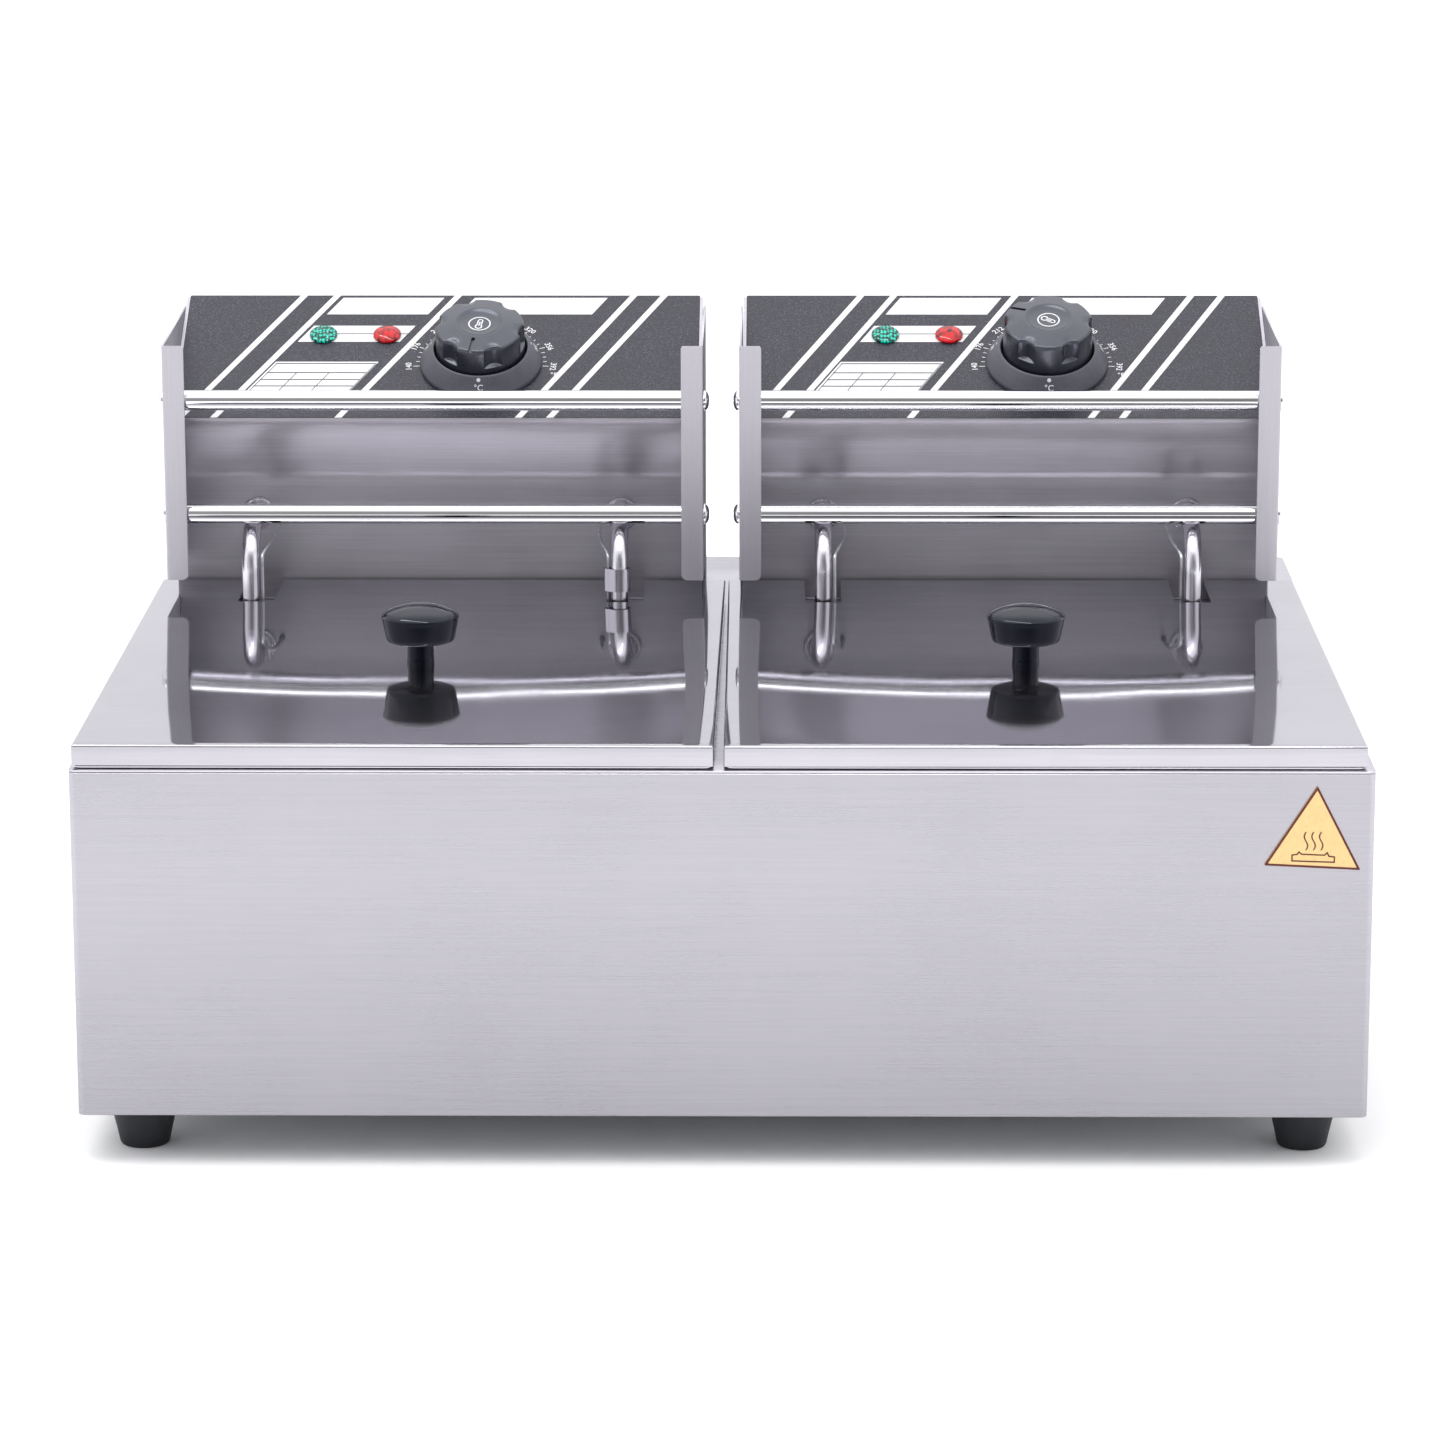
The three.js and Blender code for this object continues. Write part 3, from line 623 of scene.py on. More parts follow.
# ---------------------------------------------------------------- body of the fryer
def casing_shell():
    """Wrap-around sheet with eased edges and a narrow ledge inside its foot."""
    low, high = extent("outer_casing")
    bottom, top, radius, edge = low.z, high.z, 3.0, 0.3
    ledge, ledge_z, weld = 7.0, low.z + 8.0, 0.9
    profile = [(edge, bottom), (0, bottom + edge), (0, top - edge), (edge, top), (SHEET - edge, top),
               (SHEET, top - edge), (SHEET, ledge_z), (ledge, ledge_z), (ledge, ledge_z - SHEET),
               (SHEET + weld, ledge_z - SHEET), (SHEET, ledge_z - SHEET - weld), (SHEET, bottom + edge),
               (SHEET - edge, bottom)]
    box = (low.x, high.x, low.y, high.y)
    return loft([pan_ring(box, -d, radius - min(d, 2), z) for d, z in profile], True)


def deck_sheet(sides):
    """Flat sheet with a turned-down skirt and an opening for each pot."""
    low, high = extent("top_deck")
    top, skirt, frame_w, play = high.z, 1.3, 60.0, 1.7
    profile = [(skirt, low.z), (skirt, top - skirt), (0.1, top - SHEET), (0.0, top - 0.6), (0.25, top - 0.18),
               (0.7, top), (frame_w, top), (frame_w, top - SHEET), (skirt + 1.1, top - SHEET),
               (skirt + 1.1, low.z)]
    box = (low.x, high.x, low.y, high.y)
    rim = loft([pan_ring(box, -d, max(3.0 - d, 0.6), z) for d, z in profile], True)
    inside = frame_w - 1
    middle = block(low.x + inside, high.x - inside, low.y + inside, high.y - inside, top - SHEET, top)
    x0, x1, y0, y1 = POT_BOX
    hole = prism(rectangle(x0 - play, x1 + play, y0 - play, y1 + play, POT_CORNER + 1), top - 5, top + 5)
    return boolean(boolean(rim, middle, how="UNION"), *[hole.moved(side.tank_x) for side in sides])


def foot():
    """Tapered rubber foot with a soft tread edge and its stud."""
    top, stud, stud_top = 22.0, 3.0, extent("foot_front_left")[1].z
    return turned([(0, 0), (9.3, 0), (10.3, 0.35), (10.8, 1.2), (12.0, 7.0), (13.6, 14.0), (14.8, 19.6),
                   (15, 20.6), (15, 21.4), (14.5, top), (stud, top), (stud, stud_top), (0, stud_top)], 56)


def band(outer, inner, low, high):
    """The band between two outlines, standing across Y."""
    return boolean(prism(outer, low, high, "Y"), prism(inner, low - 1, high + 1, "Y"))


def heat_waves(low, high):
    """Three rising waves over a pan's outline: the generic sign for a hot surface."""
    line, rise, steps = 0.6, 8.0, 16
    pan = [(-9.2, 0.3), (9.2, -0.3), (9.2, 2.6), (6.8, 2.9), (6.0, 4.6), (4.6, 3.4), (-4.8, 3.8), (-6.0, 4.9),
           (-7.0, 3.7), (-9.2, 3.4)]
    shapes = [band(pan, inset(pan, [line] * len(pan)), low, high)]
    for k in (-1, 0, 1):
        wave = [(3.2 * k + 0.75 * math.sin(i / steps * 2 * math.pi), 5.2 + rise * i / steps)
                for i in range(steps + 1)]
        left, right = ([(x + s * line / 2, z) for x, z in wave] for s in (-1, 1))
        shapes.append(prism(left + right[::-1], low, high, "Y"))
    return joined(shapes)


def hot_surface_label():
    """Amber triangle with a brown line round its edge and the generic sign."""
    low, high = extent("hot_surface_label")
    corners = [(250.4, high.z), (low.x, low.z + 2.0), (high.x, low.z)]
    ink_low, ink_high = low.y - 0.04, low.y + 0.02
    line = band(rounded(inset(corners, [0.02] * 3), 0.35, 4), rounded(inset(corners, [0.95] * 3), 0.2, 4),
                ink_low, ink_high)
    sign = heat_waves(ink_low, ink_high).moved((low.x + high.x) / 2 + 0.3, 0, low.z + 3.4)
    piece("hot_surface_triangle", prism(rounded(corners, 0.4, 4), low.y, high.y, "Y"), "root", amber_ink,
          "amber_label", ["hot_surface_label"])
    piece("hot_surface_sign", line + sign, "root", brown_ink, "amber_label")


# ---------------------------------------------------------------- tank, lid, basket
def oil_pot(side):
    """A deep-drawn pan: rolled rim on the deck, a soft lip, straight walls and a rounded floor."""
    low, high = side.extent("oil_pot")
    x0, x1, y0, y1 = POT_BOX
    tank, brim = (side.tank_x + x0, side.tank_x + x1, y0, y1), (low.x, high.x, low.y, high.y)
    floor_r, inner_r, lip_r, top, under = 16.0, 16.0 - SHEET, 3.0, high.z, high.z - 1.1

    def wall(out, z):
        return pan_ring(tank, out, POT_CORNER + out, z, 8)

    rings = [wall(SHEET - floor_r * (1 - a), POT_FLOOR - SHEET + floor_r * b) for a, b in quarter(6)]
    rings.append(wall(SHEET, under))
    rings += [pan_ring(brim, -cut, 4 - cut, z, 8) for cut, z in
              ((0.5, under), (0, under + 0.4), (0, top - 0.3), (0.3, top))]
    rings += [wall(lip_r * (1 - a), top - lip_r * b) for a, b in quarter(4)]
    rings += [wall(-inner_r * (1 - a), POT_FLOOR + inner_r * b) for a, b in reversed(quarter(6))]
    mark_half, mark_levels = 14, (110.0, 140.0)
    marks = [block(side.tank_x - mark_half, side.tank_x + mark_half, y1 - 0.5, y1 + 0.3, z, z + 1.2)
             for z in mark_levels]
    return loft(rings) + joined(marks)


def lid_sag(u, v):
    """Height of the dished top at plan position u, v, each from -1 to 1, with faint dents."""
    dish = -LID_SAG * (1 - u * u) * (1 - v * v)
    dent = 0.05 * noise.noise(Vector((u * 3.1, v * 3.7, 2.0)))
    return dish + dent * min(1.0, 6 * (1 - abs(u)), 6 * (1 - abs(v)))


def stations(low, high, fixed, spacing=6.0):
    """Even steps from low to high that also stop at the fixed places."""
    marks = sorted([low, high, *fixed])
    line = [marks[0]]
    for p, q in zip(marks, marks[1:]):
        count = max(1, round((q - p) / spacing))
        line += [p + (q - p) * k / count for k in range(1, count + 1)]
    return line


def lid_sheet(side):
    """Dished top folded into front and side skirts, slotted round the element's legs, lying a
    little askew."""
    low, high = side.extent("lid")
    slots = [(side.head_x + s * LEG_X - 7.2, side.head_x + s * LEG_X + 9.8) for s in (-1, 1)]
    slot_front = 66.5
    xs = stations(low.x + FOLD, high.x - FOLD, [x for slot in slots for x in slot])
    ys = stations(low.y + FOLD, high.y, [slot_front])
    middle = (low + high) / 2
    points, faces, index = [], [], {}

    def vertex(x, y, z):
        key = (round(x, 3), round(y, 3), round(z, 3))
        if key not in index:
            index[key] = len(points)
            u, v = (x - middle.x) / (high.x - middle.x), (y - middle.y) / (high.y - middle.y)
            points.append((x, y, z + (lid_sag(u, v) if z > high.z - 0.01 else 0)))
        return index[key]

    def strip(line_a, line_b):
        """Faces between two lines of points; where the lines meet, a face loses a corner."""
        for a, b, c, d in zip(line_a, line_a[1:], line_b[1:], line_b):
            corners = tuple(dict.fromkeys(vertex(*p) for p in (a, b, c, d)))
            if len(corners) > 2:
                faces.append(corners)

    for x0, x1 in zip(xs, xs[1:]):
        slotted = any(a < (x0 + x1) / 2 < b for a, b in slots)
        line = [y for y in ys if y <= slot_front + 0.001] if slotted else ys
        strip([(x0, y, high.z) for y in line], [(x1, y, high.z) for y in line])
    arc = quarter(4)
    drop = [(FOLD * a, high.z - FOLD * b) for a, b in arc] + [(FOLD, high.z - 5.0), (FOLD, low.z)]

    def skirts(out, z):
        """The skirts' lines at one height: the front, then each side with its front corner."""
        yield [(x, ys[0] - out, z) for x in xs]
        for x, s in ((xs[0], -1), (xs[-1], 1)):
            yield [(x + s * out, y, z) for y in ys]
            yield [(x + s * out * a, ys[0] - out * (1 - b), z) for a, b in arc]

    for above, below in zip(drop, drop[1:]):
        for line_a, line_b in zip(skirts(*above), skirts(*below)):
            strip(line_a, line_b)
    pivot = Vector((middle.x, low.y, 0))
    askew = Matrix.Rotation(-LID_SKEW if side.head_x < 0 else LID_SKEW, 4, "Z")
    return thickened([pivot + askew @ (Vector(p) - pivot) for p in points], faces, SHEET * 0.9)


def thickened(points, faces, thickness):
    """An open sheet given its thickness on the inner side, as a closed shape."""
    mesh = mesh_of(Shape(points, faces))
    if max(mesh.polygons, key=lambda f: f.center.z).normal.z < 0:
        mesh.flip_normals()
    obj = linked("sheet", mesh)
    layer = obj.modifiers.new("thickness", "SOLIDIFY")
    layer.thickness, layer.offset, layer.use_rim = thickness, -1, True
    shape = shape_of(evaluated(obj).to_mesh())
    bpy.data.objects.remove(obj)
    bpy.data.meshes.remove(mesh)
    return shape


def lid_knob(side):
    """Mushroom knob: short stem, tapered drum with a flat underside, bevelled rim and a low dome."""
    middle = side.centre("lid_knob")
    profile = [(0, -2.2), (6.1, -2.2), (6.1, 0.4), (5.9, 0.7), (5.9, 4), (5.9, 8.3), (6.3, 8.75), (7.2, 8.8),
               (14.0, 8.8), (14.8, 9.1), (15.3, 9.8), (15.7, 11.4), (16.9, 17.4), (17.2, 19.0), (17.42, 19.7),
               (17.5, 20.1), (17.35, 20.5), (16.55, 21.25), (15.75, 21.97), (15.3, 22.28), (13.2, 23.2),
               (10.2, 24.2), (7, 25.0), (3.5, 25.4), (0, 25.5)]
    return turned(profile, 72).moved(middle.x, middle.y, side.extent("lid_knob")[0].z)


def woven(line, pitch, phase, place, swing=0.62, radius=0.62):
    """A wire that weaves in and out across a flat line; place() lifts it into space."""
    line = [Vector(p) for p in line]
    lengths = [0.0]
    for a, b in zip(line, line[1:]):
        lengths.append(lengths[-1] + (b - a).length)
    count = max(2, round(lengths[-1] / pitch * 2))
    path, leg = [], 0
    for k in range(count + 1):
        s = lengths[-1] * k / count
        while leg < len(line) - 2 and lengths[leg + 1] < s:
            leg += 1
        along = (line[leg + 1] - line[leg]).normalized()
        p = line[leg] + along * (s - lengths[leg])
        offset = swing if (k + phase) % 2 else -swing
        path.append(place(p.x - along.y * offset, p.y + along.x * offset))
    return tube(path, radius, 5)


def basket(side):
    """Woven-wire basket on a round frame, with its loop handle folded in."""
    low, high = side.extent("basket")
    x0, x1, y0, y1, z0, z1 = low.x + 2, high.x - 2, low.y + 2, high.y - 2, low.z + 1.6, high.z - 2.2
    pitch, corner = 9.0, 6.0
    shapes = []
    for (a, b), (c, d), axis in (((x0, x1), (y0, y1), 0), ((y0, y1), (x0, x1), 1)):
        span = b - a - 2 * corner
        count = round(span / pitch)
        line = rounded([(c, z1), (c, z0), (d, z0), (d, z1)], corner, 3, closed=False)
        for i in range(count + 1):
            at = a + corner + span * i / count
            shapes.append(woven(line, pitch, i, lambda p, q: (p, at, q) if axis else (at, p, q)))
    rise = z1 - z0 - corner
    levels = round(rise / pitch)
    loop = rectangle(x0, x1, y0, y1, corner, 3)
    for i in range(levels):
        z = z0 + corner + rise * i / levels
        shapes.append(woven(loop + loop[:1], pitch, i, lambda p, q: (p, q, z)))
    for z, r in ((z1, 2.0), (z1 - 34, 1.5)):
        shapes.append(hoop(pan_ring((x0, x1, y0, y1), 0, corner + 1, z), r))
    return joined(shapes) + basket_handle(low.y).moved(side.tank_x)


def basket_handle(front):
    """Folded-in loop of round rod and the two plates that hold it."""
    half, reach, z = 24, 104.0, 166.0
    bend = [(-half, front + 3, z), (-half, front + reach, z), (half, front + reach, z), (half, front + 3, z)]
    handle = tube(rounded(bend, 10, 6, closed=False), 2.4, 12)
    plate = prism(rounded([(-6, z + 2), (6, z + 2), (6, z - 26), (-6, z - 26)], 2.0, 4), front + 0.9,
                  front + 2.1, "Y")
    return joined([handle, plate.moved(-half), plate.moved(half)])


# ---------------------------------------------------------------- control head
def housing(side):
    """Folded sheet box with an overhanging brow and soft bends, holed for legs, capillaries and gland."""
    bottom = side.extent("head_housing")[0].z
    outline = [(HEAD_FRONT, bottom), (HEAD_FRONT, HEAD_BEND), (side.panel_low.y, side.lip_z),
               (side.panel_high.y, side.panel_high.z), (HEAD_BACK, bottom)]
    skin, open_top = PANEL_T + GAP, -30
    outer = rounded(inset(outline, [0, skin, skin, skin, 0]), [1.2, 9.0, 1.0, 1.0, 1.2], 6)
    inner = rounded(inset(outline, [SHEET, skin + SHEET, open_top, skin + SHEET, SHEET]),
                    [0, 8.0, 0, 0, 0], 6)
    left, right = side.head_x - side.half_x, side.head_x + side.half_x
    holes = []
    for s in (-1, 1):
        holes.append((side.head_x + s * LEG_X, HEAD_FRONT, LEG_EXIT_Z, LEG_R + 0.4))
        holes.append((side.head_x + s * LINE_X, HEAD_FRONT, LINE_Z, 1.4))
    for suffix, radius in (("reset_button", 4.8), ("cable_gland", 8.3)):
        middle = side.centre(suffix)
        holes.append((middle.x, HEAD_BACK - 2, middle.z, radius))
    return boolean(boolean(prism(outer, left, right, "X"), prism(inner, left + SHEET, right - SHEET, "X")),
                   *[rod(radius, -6, 6, 32).at(TO_BACK).moved(x, y, z) for x, y, z, radius in holes])


def panel_sheet(side):
    """The sloped top sheet with its front and rear lips and holes for spindle and lamps."""
    front, foot_z = (side.panel_low.y, side.lip_z), side.panel_low.z
    back = (side.panel_high.y, side.panel_high.z)
    steep = (HEAD_BEND - side.lip_z) / (HEAD_FRONT - front[0])
    lip = (front[0] + (foot_z - side.lip_z) / steep, foot_z)
    top = [lip, front, back, (back[0], back[1] - PANEL_REAR_LIP)]
    outline = rounded(top + offset_open(top, PANEL_T)[::-1], [0, 1.4, 1.6, 0, 0, 0.4, 0.4, 0], 5)
    sheet = prism(outline, side.head_x - side.half_x, side.head_x + side.half_x, "X")
    return boolean(sheet, *panel_drills(side, 6))


def offset_open(line, distance):
    """An open line of a folded sheet moved to its inner side."""
    normals = []
    for (a, b), (c, d) in zip(line, line[1:]):
        length = math.hypot(c - a, d - b)
        normals.append(((d - b) / length, -(c - a) / length))
    points = []
    for (a, b), n0, n1 in zip(line, normals[:1] + normals, normals + normals[-1:]):
        scale = distance / (1 + n0[0] * n1[0] + n0[1] * n1[1])
        points.append((a + (n0[0] + n1[0]) * scale, b + (n0[1] + n1[1]) * scale))
    return points


LAMP_V = 65.6
LAMPS = {"green": (-57.0, LAMP_V), "red": (-26.4, LAMP_V)}
SPINDLE_HOLE, LAMP_HOLE = 5.5, 5.4


def panel_drills(side, reach):
    """Cutters for the spindle's and the lamps' holes, reaching this far each way."""
    spots = [(side.dial.x, side.dial.y, SPINDLE_HOLE)] + [(u, v, LAMP_HOLE) for u, v in LAMPS.values()]
    return [rod(radius, -reach, reach).at(side.on_panel(u, v)) for u, v, radius in spots]


# The printed layout, u across and v up the slope from the panel's front edge.
SLANT = 0.541                    # how far a stripe leans to the left per unit of v
PRINT_TOP, PRINT_BOTTOM = 98.2, 0.9
STRIPES = [-70.0, -54.0, 4.8, 90.0, 104.8]
STRIPE_W = 3.4
CAPTION_BOXES = [(-49.3, -0.3, 82.7, 96.2), (14.5, 79.0, 82.7, 96.2), (-62.2, -13.1, 60.6, 73.5)]
TABLE = (-78.5, -29.3, 20.5, 44.7)
FILM_LIFT, INK_LIFT = 0.10, 0.14
INK_MIDDLE = (FILM_LIFT + INK_LIFT) / 2
BAR_YZ = {"upper": (79, 278.5), "lower": (79, 224.3)}


def leaning(left, right, bottom, top):
    """A parallelogram whose top edge runs from left to right, leaning with the stripes."""
    shift = SLANT * (top - bottom)
    return [(left - shift, bottom), (right - shift, bottom), (right, top), (left, top)]


def panel_print(side):
    """Film, stripes, blank caption boxes, the blank table's rules and the dial's figures."""
    def printed(outlines, low, high):
        return joined(prism(outline, low, high).at(side.panel) for outline in outlines)

    width = side.half_x - 1.5
    sheet = printed([rectangle(-width, width, PRINT_BOTTOM, PRINT_TOP, 0.8, 4)], 0.02, FILM_LIFT)
    piece(side.node("panel_film"), boolean(sheet, *panel_drills(side, 3)), side.head, film, "panel_print")

    shapes = [leaning(t, t + STRIPE_W, PRINT_BOTTOM, PRINT_TOP) for t in STRIPES]
    shapes += [leaning(*box) for box in CAPTION_BOXES] + [leaning(*TABLE)]
    lamp_holes = [rod(5.5, -3, 3).at(side.on_panel(u, v)) for u, v in LAMPS.values()]
    white = boolean(printed(shapes, FILM_LIFT, INK_LIFT), *lamp_holes)
    piece(side.node("panel_white"), white + dial_scale(side), side.head, white_ink, "panel_print")

    left, right, bottom, top = TABLE
    lines = [leaning(-62.0, -15.5, 66.7, 67.3)]
    for v in (43.6, 36.4, 31.0, 25.9):
        shift = SLANT * (top - v)
        lines.append(leaning(left + 0.9 - shift, right - 0.9 - shift, v - 0.75, v))
    for u, v in ((left + 0.5, 43.6), (right - 1.3, 43.6), (-67.99, 36.4), (-52.49, 36.4)):
        lines.append(leaning(u, u + 0.5, bottom + 0.2, v))
    piece(side.node("panel_rules"), printed(lines, INK_LIFT, INK_LIFT + 0.03), side.head, grey_ink,
          "panel_print")


def dial_scale(side):
    """Fahrenheit ring outside the dial ring: figures every 36 degrees from 140, ticks between."""
    shapes, steps, inner, outer, figure_r = [], 28, 29.5, (31.2, 32.4), 34.5
    for i in range(steps + 1):
        angle = math.radians(184.5 - 189 * i / steps)
        long_tick = i % 4 == 0
        tick = rectangle(inner, outer[long_tick], -0.21, 0.21, 0)
        shapes.append(prism(tick, FILM_LIFT, INK_LIFT).at(Matrix.Rotation(angle, 4, "Z")))
        if long_tick:
            figures = lettering(str(140 + 9 * i), 2.9, INK_LIFT - FILM_LIFT).moved(0, figure_r, INK_MIDDLE)
            shapes.append(figures.at(Matrix.Rotation(angle - math.pi / 2, 4, "Z")))
    shapes.append(lettering("°F", 2.9, INK_LIFT - FILM_LIFT).moved(35.0, -9.2, INK_MIDDLE))
    return joined(shapes).at(side.dial_place)


def cheek(side, s, suffix):
    """Side plate with its front edge folded inwards."""
    low, high = side.extent(suffix)
    outer, step_z, top_front, rear = 126.6, 193.9, 305.5, HEAD_BACK - 1.5
    inner, skin = outer - (high.x - low.x), outer - SHEET
    outline = rounded([(outer, low.y), (outer, rear), (skin, rear), (skin, low.y + SHEET),
                       (inner, low.y + SHEET), (inner, low.y)], [FOLD, 0.3, 0.3, 0.6, 0.3, 0.3], 5)
    before, above = low.y - 1, high.z + 1
    step_y = HEAD_FRONT + 2
    view = rounded([(before, step_z), (step_y, step_z), (step_y, low.z), (high.y, low.z), (high.y, high.z),
                    (before, top_front)], [0, 1, 0, 1, 2, 0], 4)
    side_view = prism(view, 100, 140, "X")
    flange = prism(rounded([(inner, step_z), (outer + 1, step_z), (outer + 1, above), (inner, above)],
                           [3.0, 0, 0, 0], 6), before, low.y + 2.5, "Y")
    plate = block(outer - 3, outer + 1, low.y + 1.2, high.y + 1, low.z - 1, above)
    shape = boolean(prism(outline, low.z, high.z), side_view, how="INTERSECT")
    shape = boolean(shape, boolean(flange, plate, how="UNION"), how="INTERSECT")
    corner = prism([(inner - 1, top_front - 3), (inner + 3, top_front + 4), (inner - 1, top_front + 4)],
                   before, low.y + 3, "Y")
    drills = [rod(2.6, 120, 130, 24).at(TO_RIGHT).moved(0, *BAR_YZ[level]) for level in ("upper", "lower")]
    shape = boolean(boolean(shape, corner), *drills)
    return shape.at(Matrix.Scale(s, 4, (1, 0, 0))).moved(side.head_x)


def bar(side, level):
    """Round bar with eased ends and a blind screw hole in each."""
    low, high = side.extent(level + "_bar")
    half, r, bore, ease, parts = (high.x - low.x) / 2, (high.z - low.z) / 2, 2.5, 0.4, 24
    profile = [(0, -half + 16.5), (bore, -half + 16), (bore, -half), (r - ease, -half)]
    profile += [(r, (half - ease) * (2 * k / parts - 1)) for k in range(parts + 1)]
    profile += [(r - ease, half), (bore, half), (bore, half - 16), (0, half - 16.5)]
    return turned(profile, 40).at(TO_RIGHT).moved(*(low + high) / 2)


def screw(side, suffix, s):
    """Domed screw with a cross recess, its head outside the cheek."""
    low, high = side.extent(suffix)
    h = high.x - low.x - 2.6
    dome = [(4.75, 0), (4.75, 0.5), (4.55, 1.0), (4.05, 1.6), (3.2, 2.1), (2.0, 2.45), (0, 2.6)]
    body = turned([(0, 0), (1.7, 0), (2.2, 0.5), (2.2, h - 0.02)] + [(r, h + z) for r, z in dome], 36)
    arms = [block(-2.3, 2.3, -0.42, 0.42, h + 1.1, h + 4).at(Matrix.Rotation(a, 4, "Z"))
            for a in (0.3, 0.3 + math.pi / 2)]
    cross = boolean(body, *arms).at(TO_RIGHT)
    if s < 0:
        cross = cross.at(Matrix.Rotation(math.pi, 4, "Z"))
    middle = (low + high) / 2
    return cross.moved(low.x if s > 0 else high.x, middle.y, middle.z)


def heating_element(side):
    """One drawn tube: out of the head, down through the lid and in loops over the tank's floor."""
    leg = [(146, LEG_EXIT_Z), (LEG_Y, LEG_EXIT_Z), (LEG_Y, COIL_Z)]
    pitch = 2 * LEG_X / (COIL_RUNS - 1)
    corners = [(-LEG_X, y, z) for y, z in leg]
    radii = [0, LEG_BEND, LEG_BEND]
    for i in range(COIL_RUNS - 1):
        x = -LEG_X + i * pitch
        y = COIL_FRONT - pitch / 2 if i % 2 == 0 else COIL_BACK + pitch / 2
        corners += [(x, y, COIL_Z), (x + pitch, y, COIL_Z)]
        radii += [pitch / 2, pitch / 2]
    corners += [(LEG_X, y, z) for y, z in reversed(leg)]
    radii += [LEG_BEND, LEG_BEND, 0]
    shape = tube(rounded(corners, [r * 0.999 for r in radii], 8, closed=False), LEG_R, 20)
    back = HEAD_FRONT - GAP
    collar = [(LEG_R - 0.1, 3.4), (LEG_R + 0.9, 3.5), (LEG_R + 1.6, 3.1), (6.4, 2.0), (7.3, 1.9), (7.8, 1.5),
              (8.0, 0.8), (8.0, 0), (LEG_R - 0.1, 0)]
    ring = turned([(r, back - d) for r, d in collar], 48).at(TO_BACK).moved(z=LEG_EXIT_Z)
    return joined([shape, ring.moved(-LEG_X), ring.moved(LEG_X)]).moved(side.head_x)


def capillary(s, start):
    """Sensing line: from its start inside the head, out beside a leg and down to its bulb."""
    leg, exit_x = s * LEG_X, s * LINE_X
    held, bulb_x = leg - s * CAPILLARY_OFF, leg - s * 7.6
    along = [start, (exit_x, 134, 219), (exit_x, 124, LINE_Z), (exit_x, 110, LINE_Z),
             (exit_x + s * 1.2, 86, 210.5), (held - s * 0.4, 75.2, 206)]
    along += [(held, LEG_Y, z) for z in (202.5, 194, 186, 165)] + [(bulb_x, LEG_Y, z) for z in (152, 143)]
    bulb = turned([(0, 60), (2, 60), (2.7, 60.6), (3, 61.6), (3, 146), (2.6, 147.2), (1.4, 148.6),
                   (0, 149)], 20)
    return tube(smooth(along, 6), CAPILLARY_R, 10) + bulb.moved(bulb_x, LEG_Y)


def thermostat(side):
    """Case under the panel with its bushing, bored for the spindle, and its sensing line."""
    u, v, half = side.dial.x, side.dial.y, 18
    case = prism(rectangle(u - half, u + half, v - half, v + half, 2.5), -22, -3)
    case = boolean(case + rod(5, -4, 1.3, 32).moved(u, v), rod(3.3, -18.3, 5, 32).moved(u, v))
    line = capillary(side.probe, (u + 12 * side.probe, 136, 272))
    return case.at(side.panel) + line.moved(side.head_x)


def limiter(side):
    """Case behind the reset button with its sensing line."""
    middle = side.centre("reset_button")
    x, z = middle.x - side.head_x, middle.z
    case = prism(rectangle(x - 16, x + 16, z - 15, z + 15, 3), 148, 168, "Y")
    return (case + capillary(-side.probe, (x, 150, z - 10))).moved(side.head_x)


def reset_button(side):
    """Flanged pin with a dished end, through the head's back."""
    low, middle = side.extent("reset_button")[0], side.centre("reset_button")
    profile = [(0, 0), (6.5, 0), (6.5, 1.4), (4.5, 1.4), (4.5, 8.0), (4.1, 8.6), (3.4, 8.9), (2.0, 8.6),
               (0, 8.45)]
    return turned(profile, 40).at(TO_BACK).moved(middle.x, low.y, middle.z)


def sensor_clip(side):
    """Spring-steel strip wrapped round one leg and the capillary beside it."""
    def egg(grow):
        r1, r2 = LEG_R + 0.45 + grow, CAPILLARY_R + 0.6 + grow
        lean = math.acos((r1 - r2) / CAPILLARY_OFF)
        line = []
        for middle, r, start, end, steps in ((0, r1, lean, 2 * math.pi - lean, 28),
                                             (CAPILLARY_OFF, r2, -lean, lean, 10)):
            for i in range(steps + 1):
                a = start + (end - start) * i / steps
                line.append((side.probe * (LEG_X - middle - r * math.cos(a)), LEG_Y + r * math.sin(a)))
        return line

    low, high = side.extent("sensor_clip")
    steps = ((0.6, low.z), (0.6, high.z), (0, high.z), (0, low.z))
    rings = [[(x, y, z) for x, y in egg(grow)] for grow, z in steps]
    return loft(rings, closed=True).moved(side.head_x)


def cable_gland(side):
    """Gland in the head's back: a threaded body, a hexagon nut and a ribbed dome."""
    middle, bore, wall = side.centre("cable_gland"), 4.4, HEAD_BACK - PANEL_T - GAP
    body = turned([(bore, -10), (8, -10), (8, 0.3), (bore, 0.3)], 40)
    turns = [math.pi * k / 3 for k in range(6)]
    nut = prism([(12 * math.cos(a), 12 * math.sin(a)) for a in turns], 0.3, 5.2)
    dome = turned([(bore, 5.2), (9.8, 5.2), (10, 5.6), (10, 11), (9.5, 12.6), (8, 14.2), (6.5, 14.9),
                   (4.8, 15), (bore, 14.6)], 40)
    rib = block(9.6, 10.5, -0.5, 0.5, 5.6, 11.4)
    ribs = [rib.at(Matrix.Rotation(math.pi * k / 8, 4, "Z")) for k in range(16)]
    shape = joined([body, boolean(nut, rod(bore, -5, 8, 40)), dome, *ribs])
    return shape.at(TO_BACK).moved(middle.x, wall, middle.z)


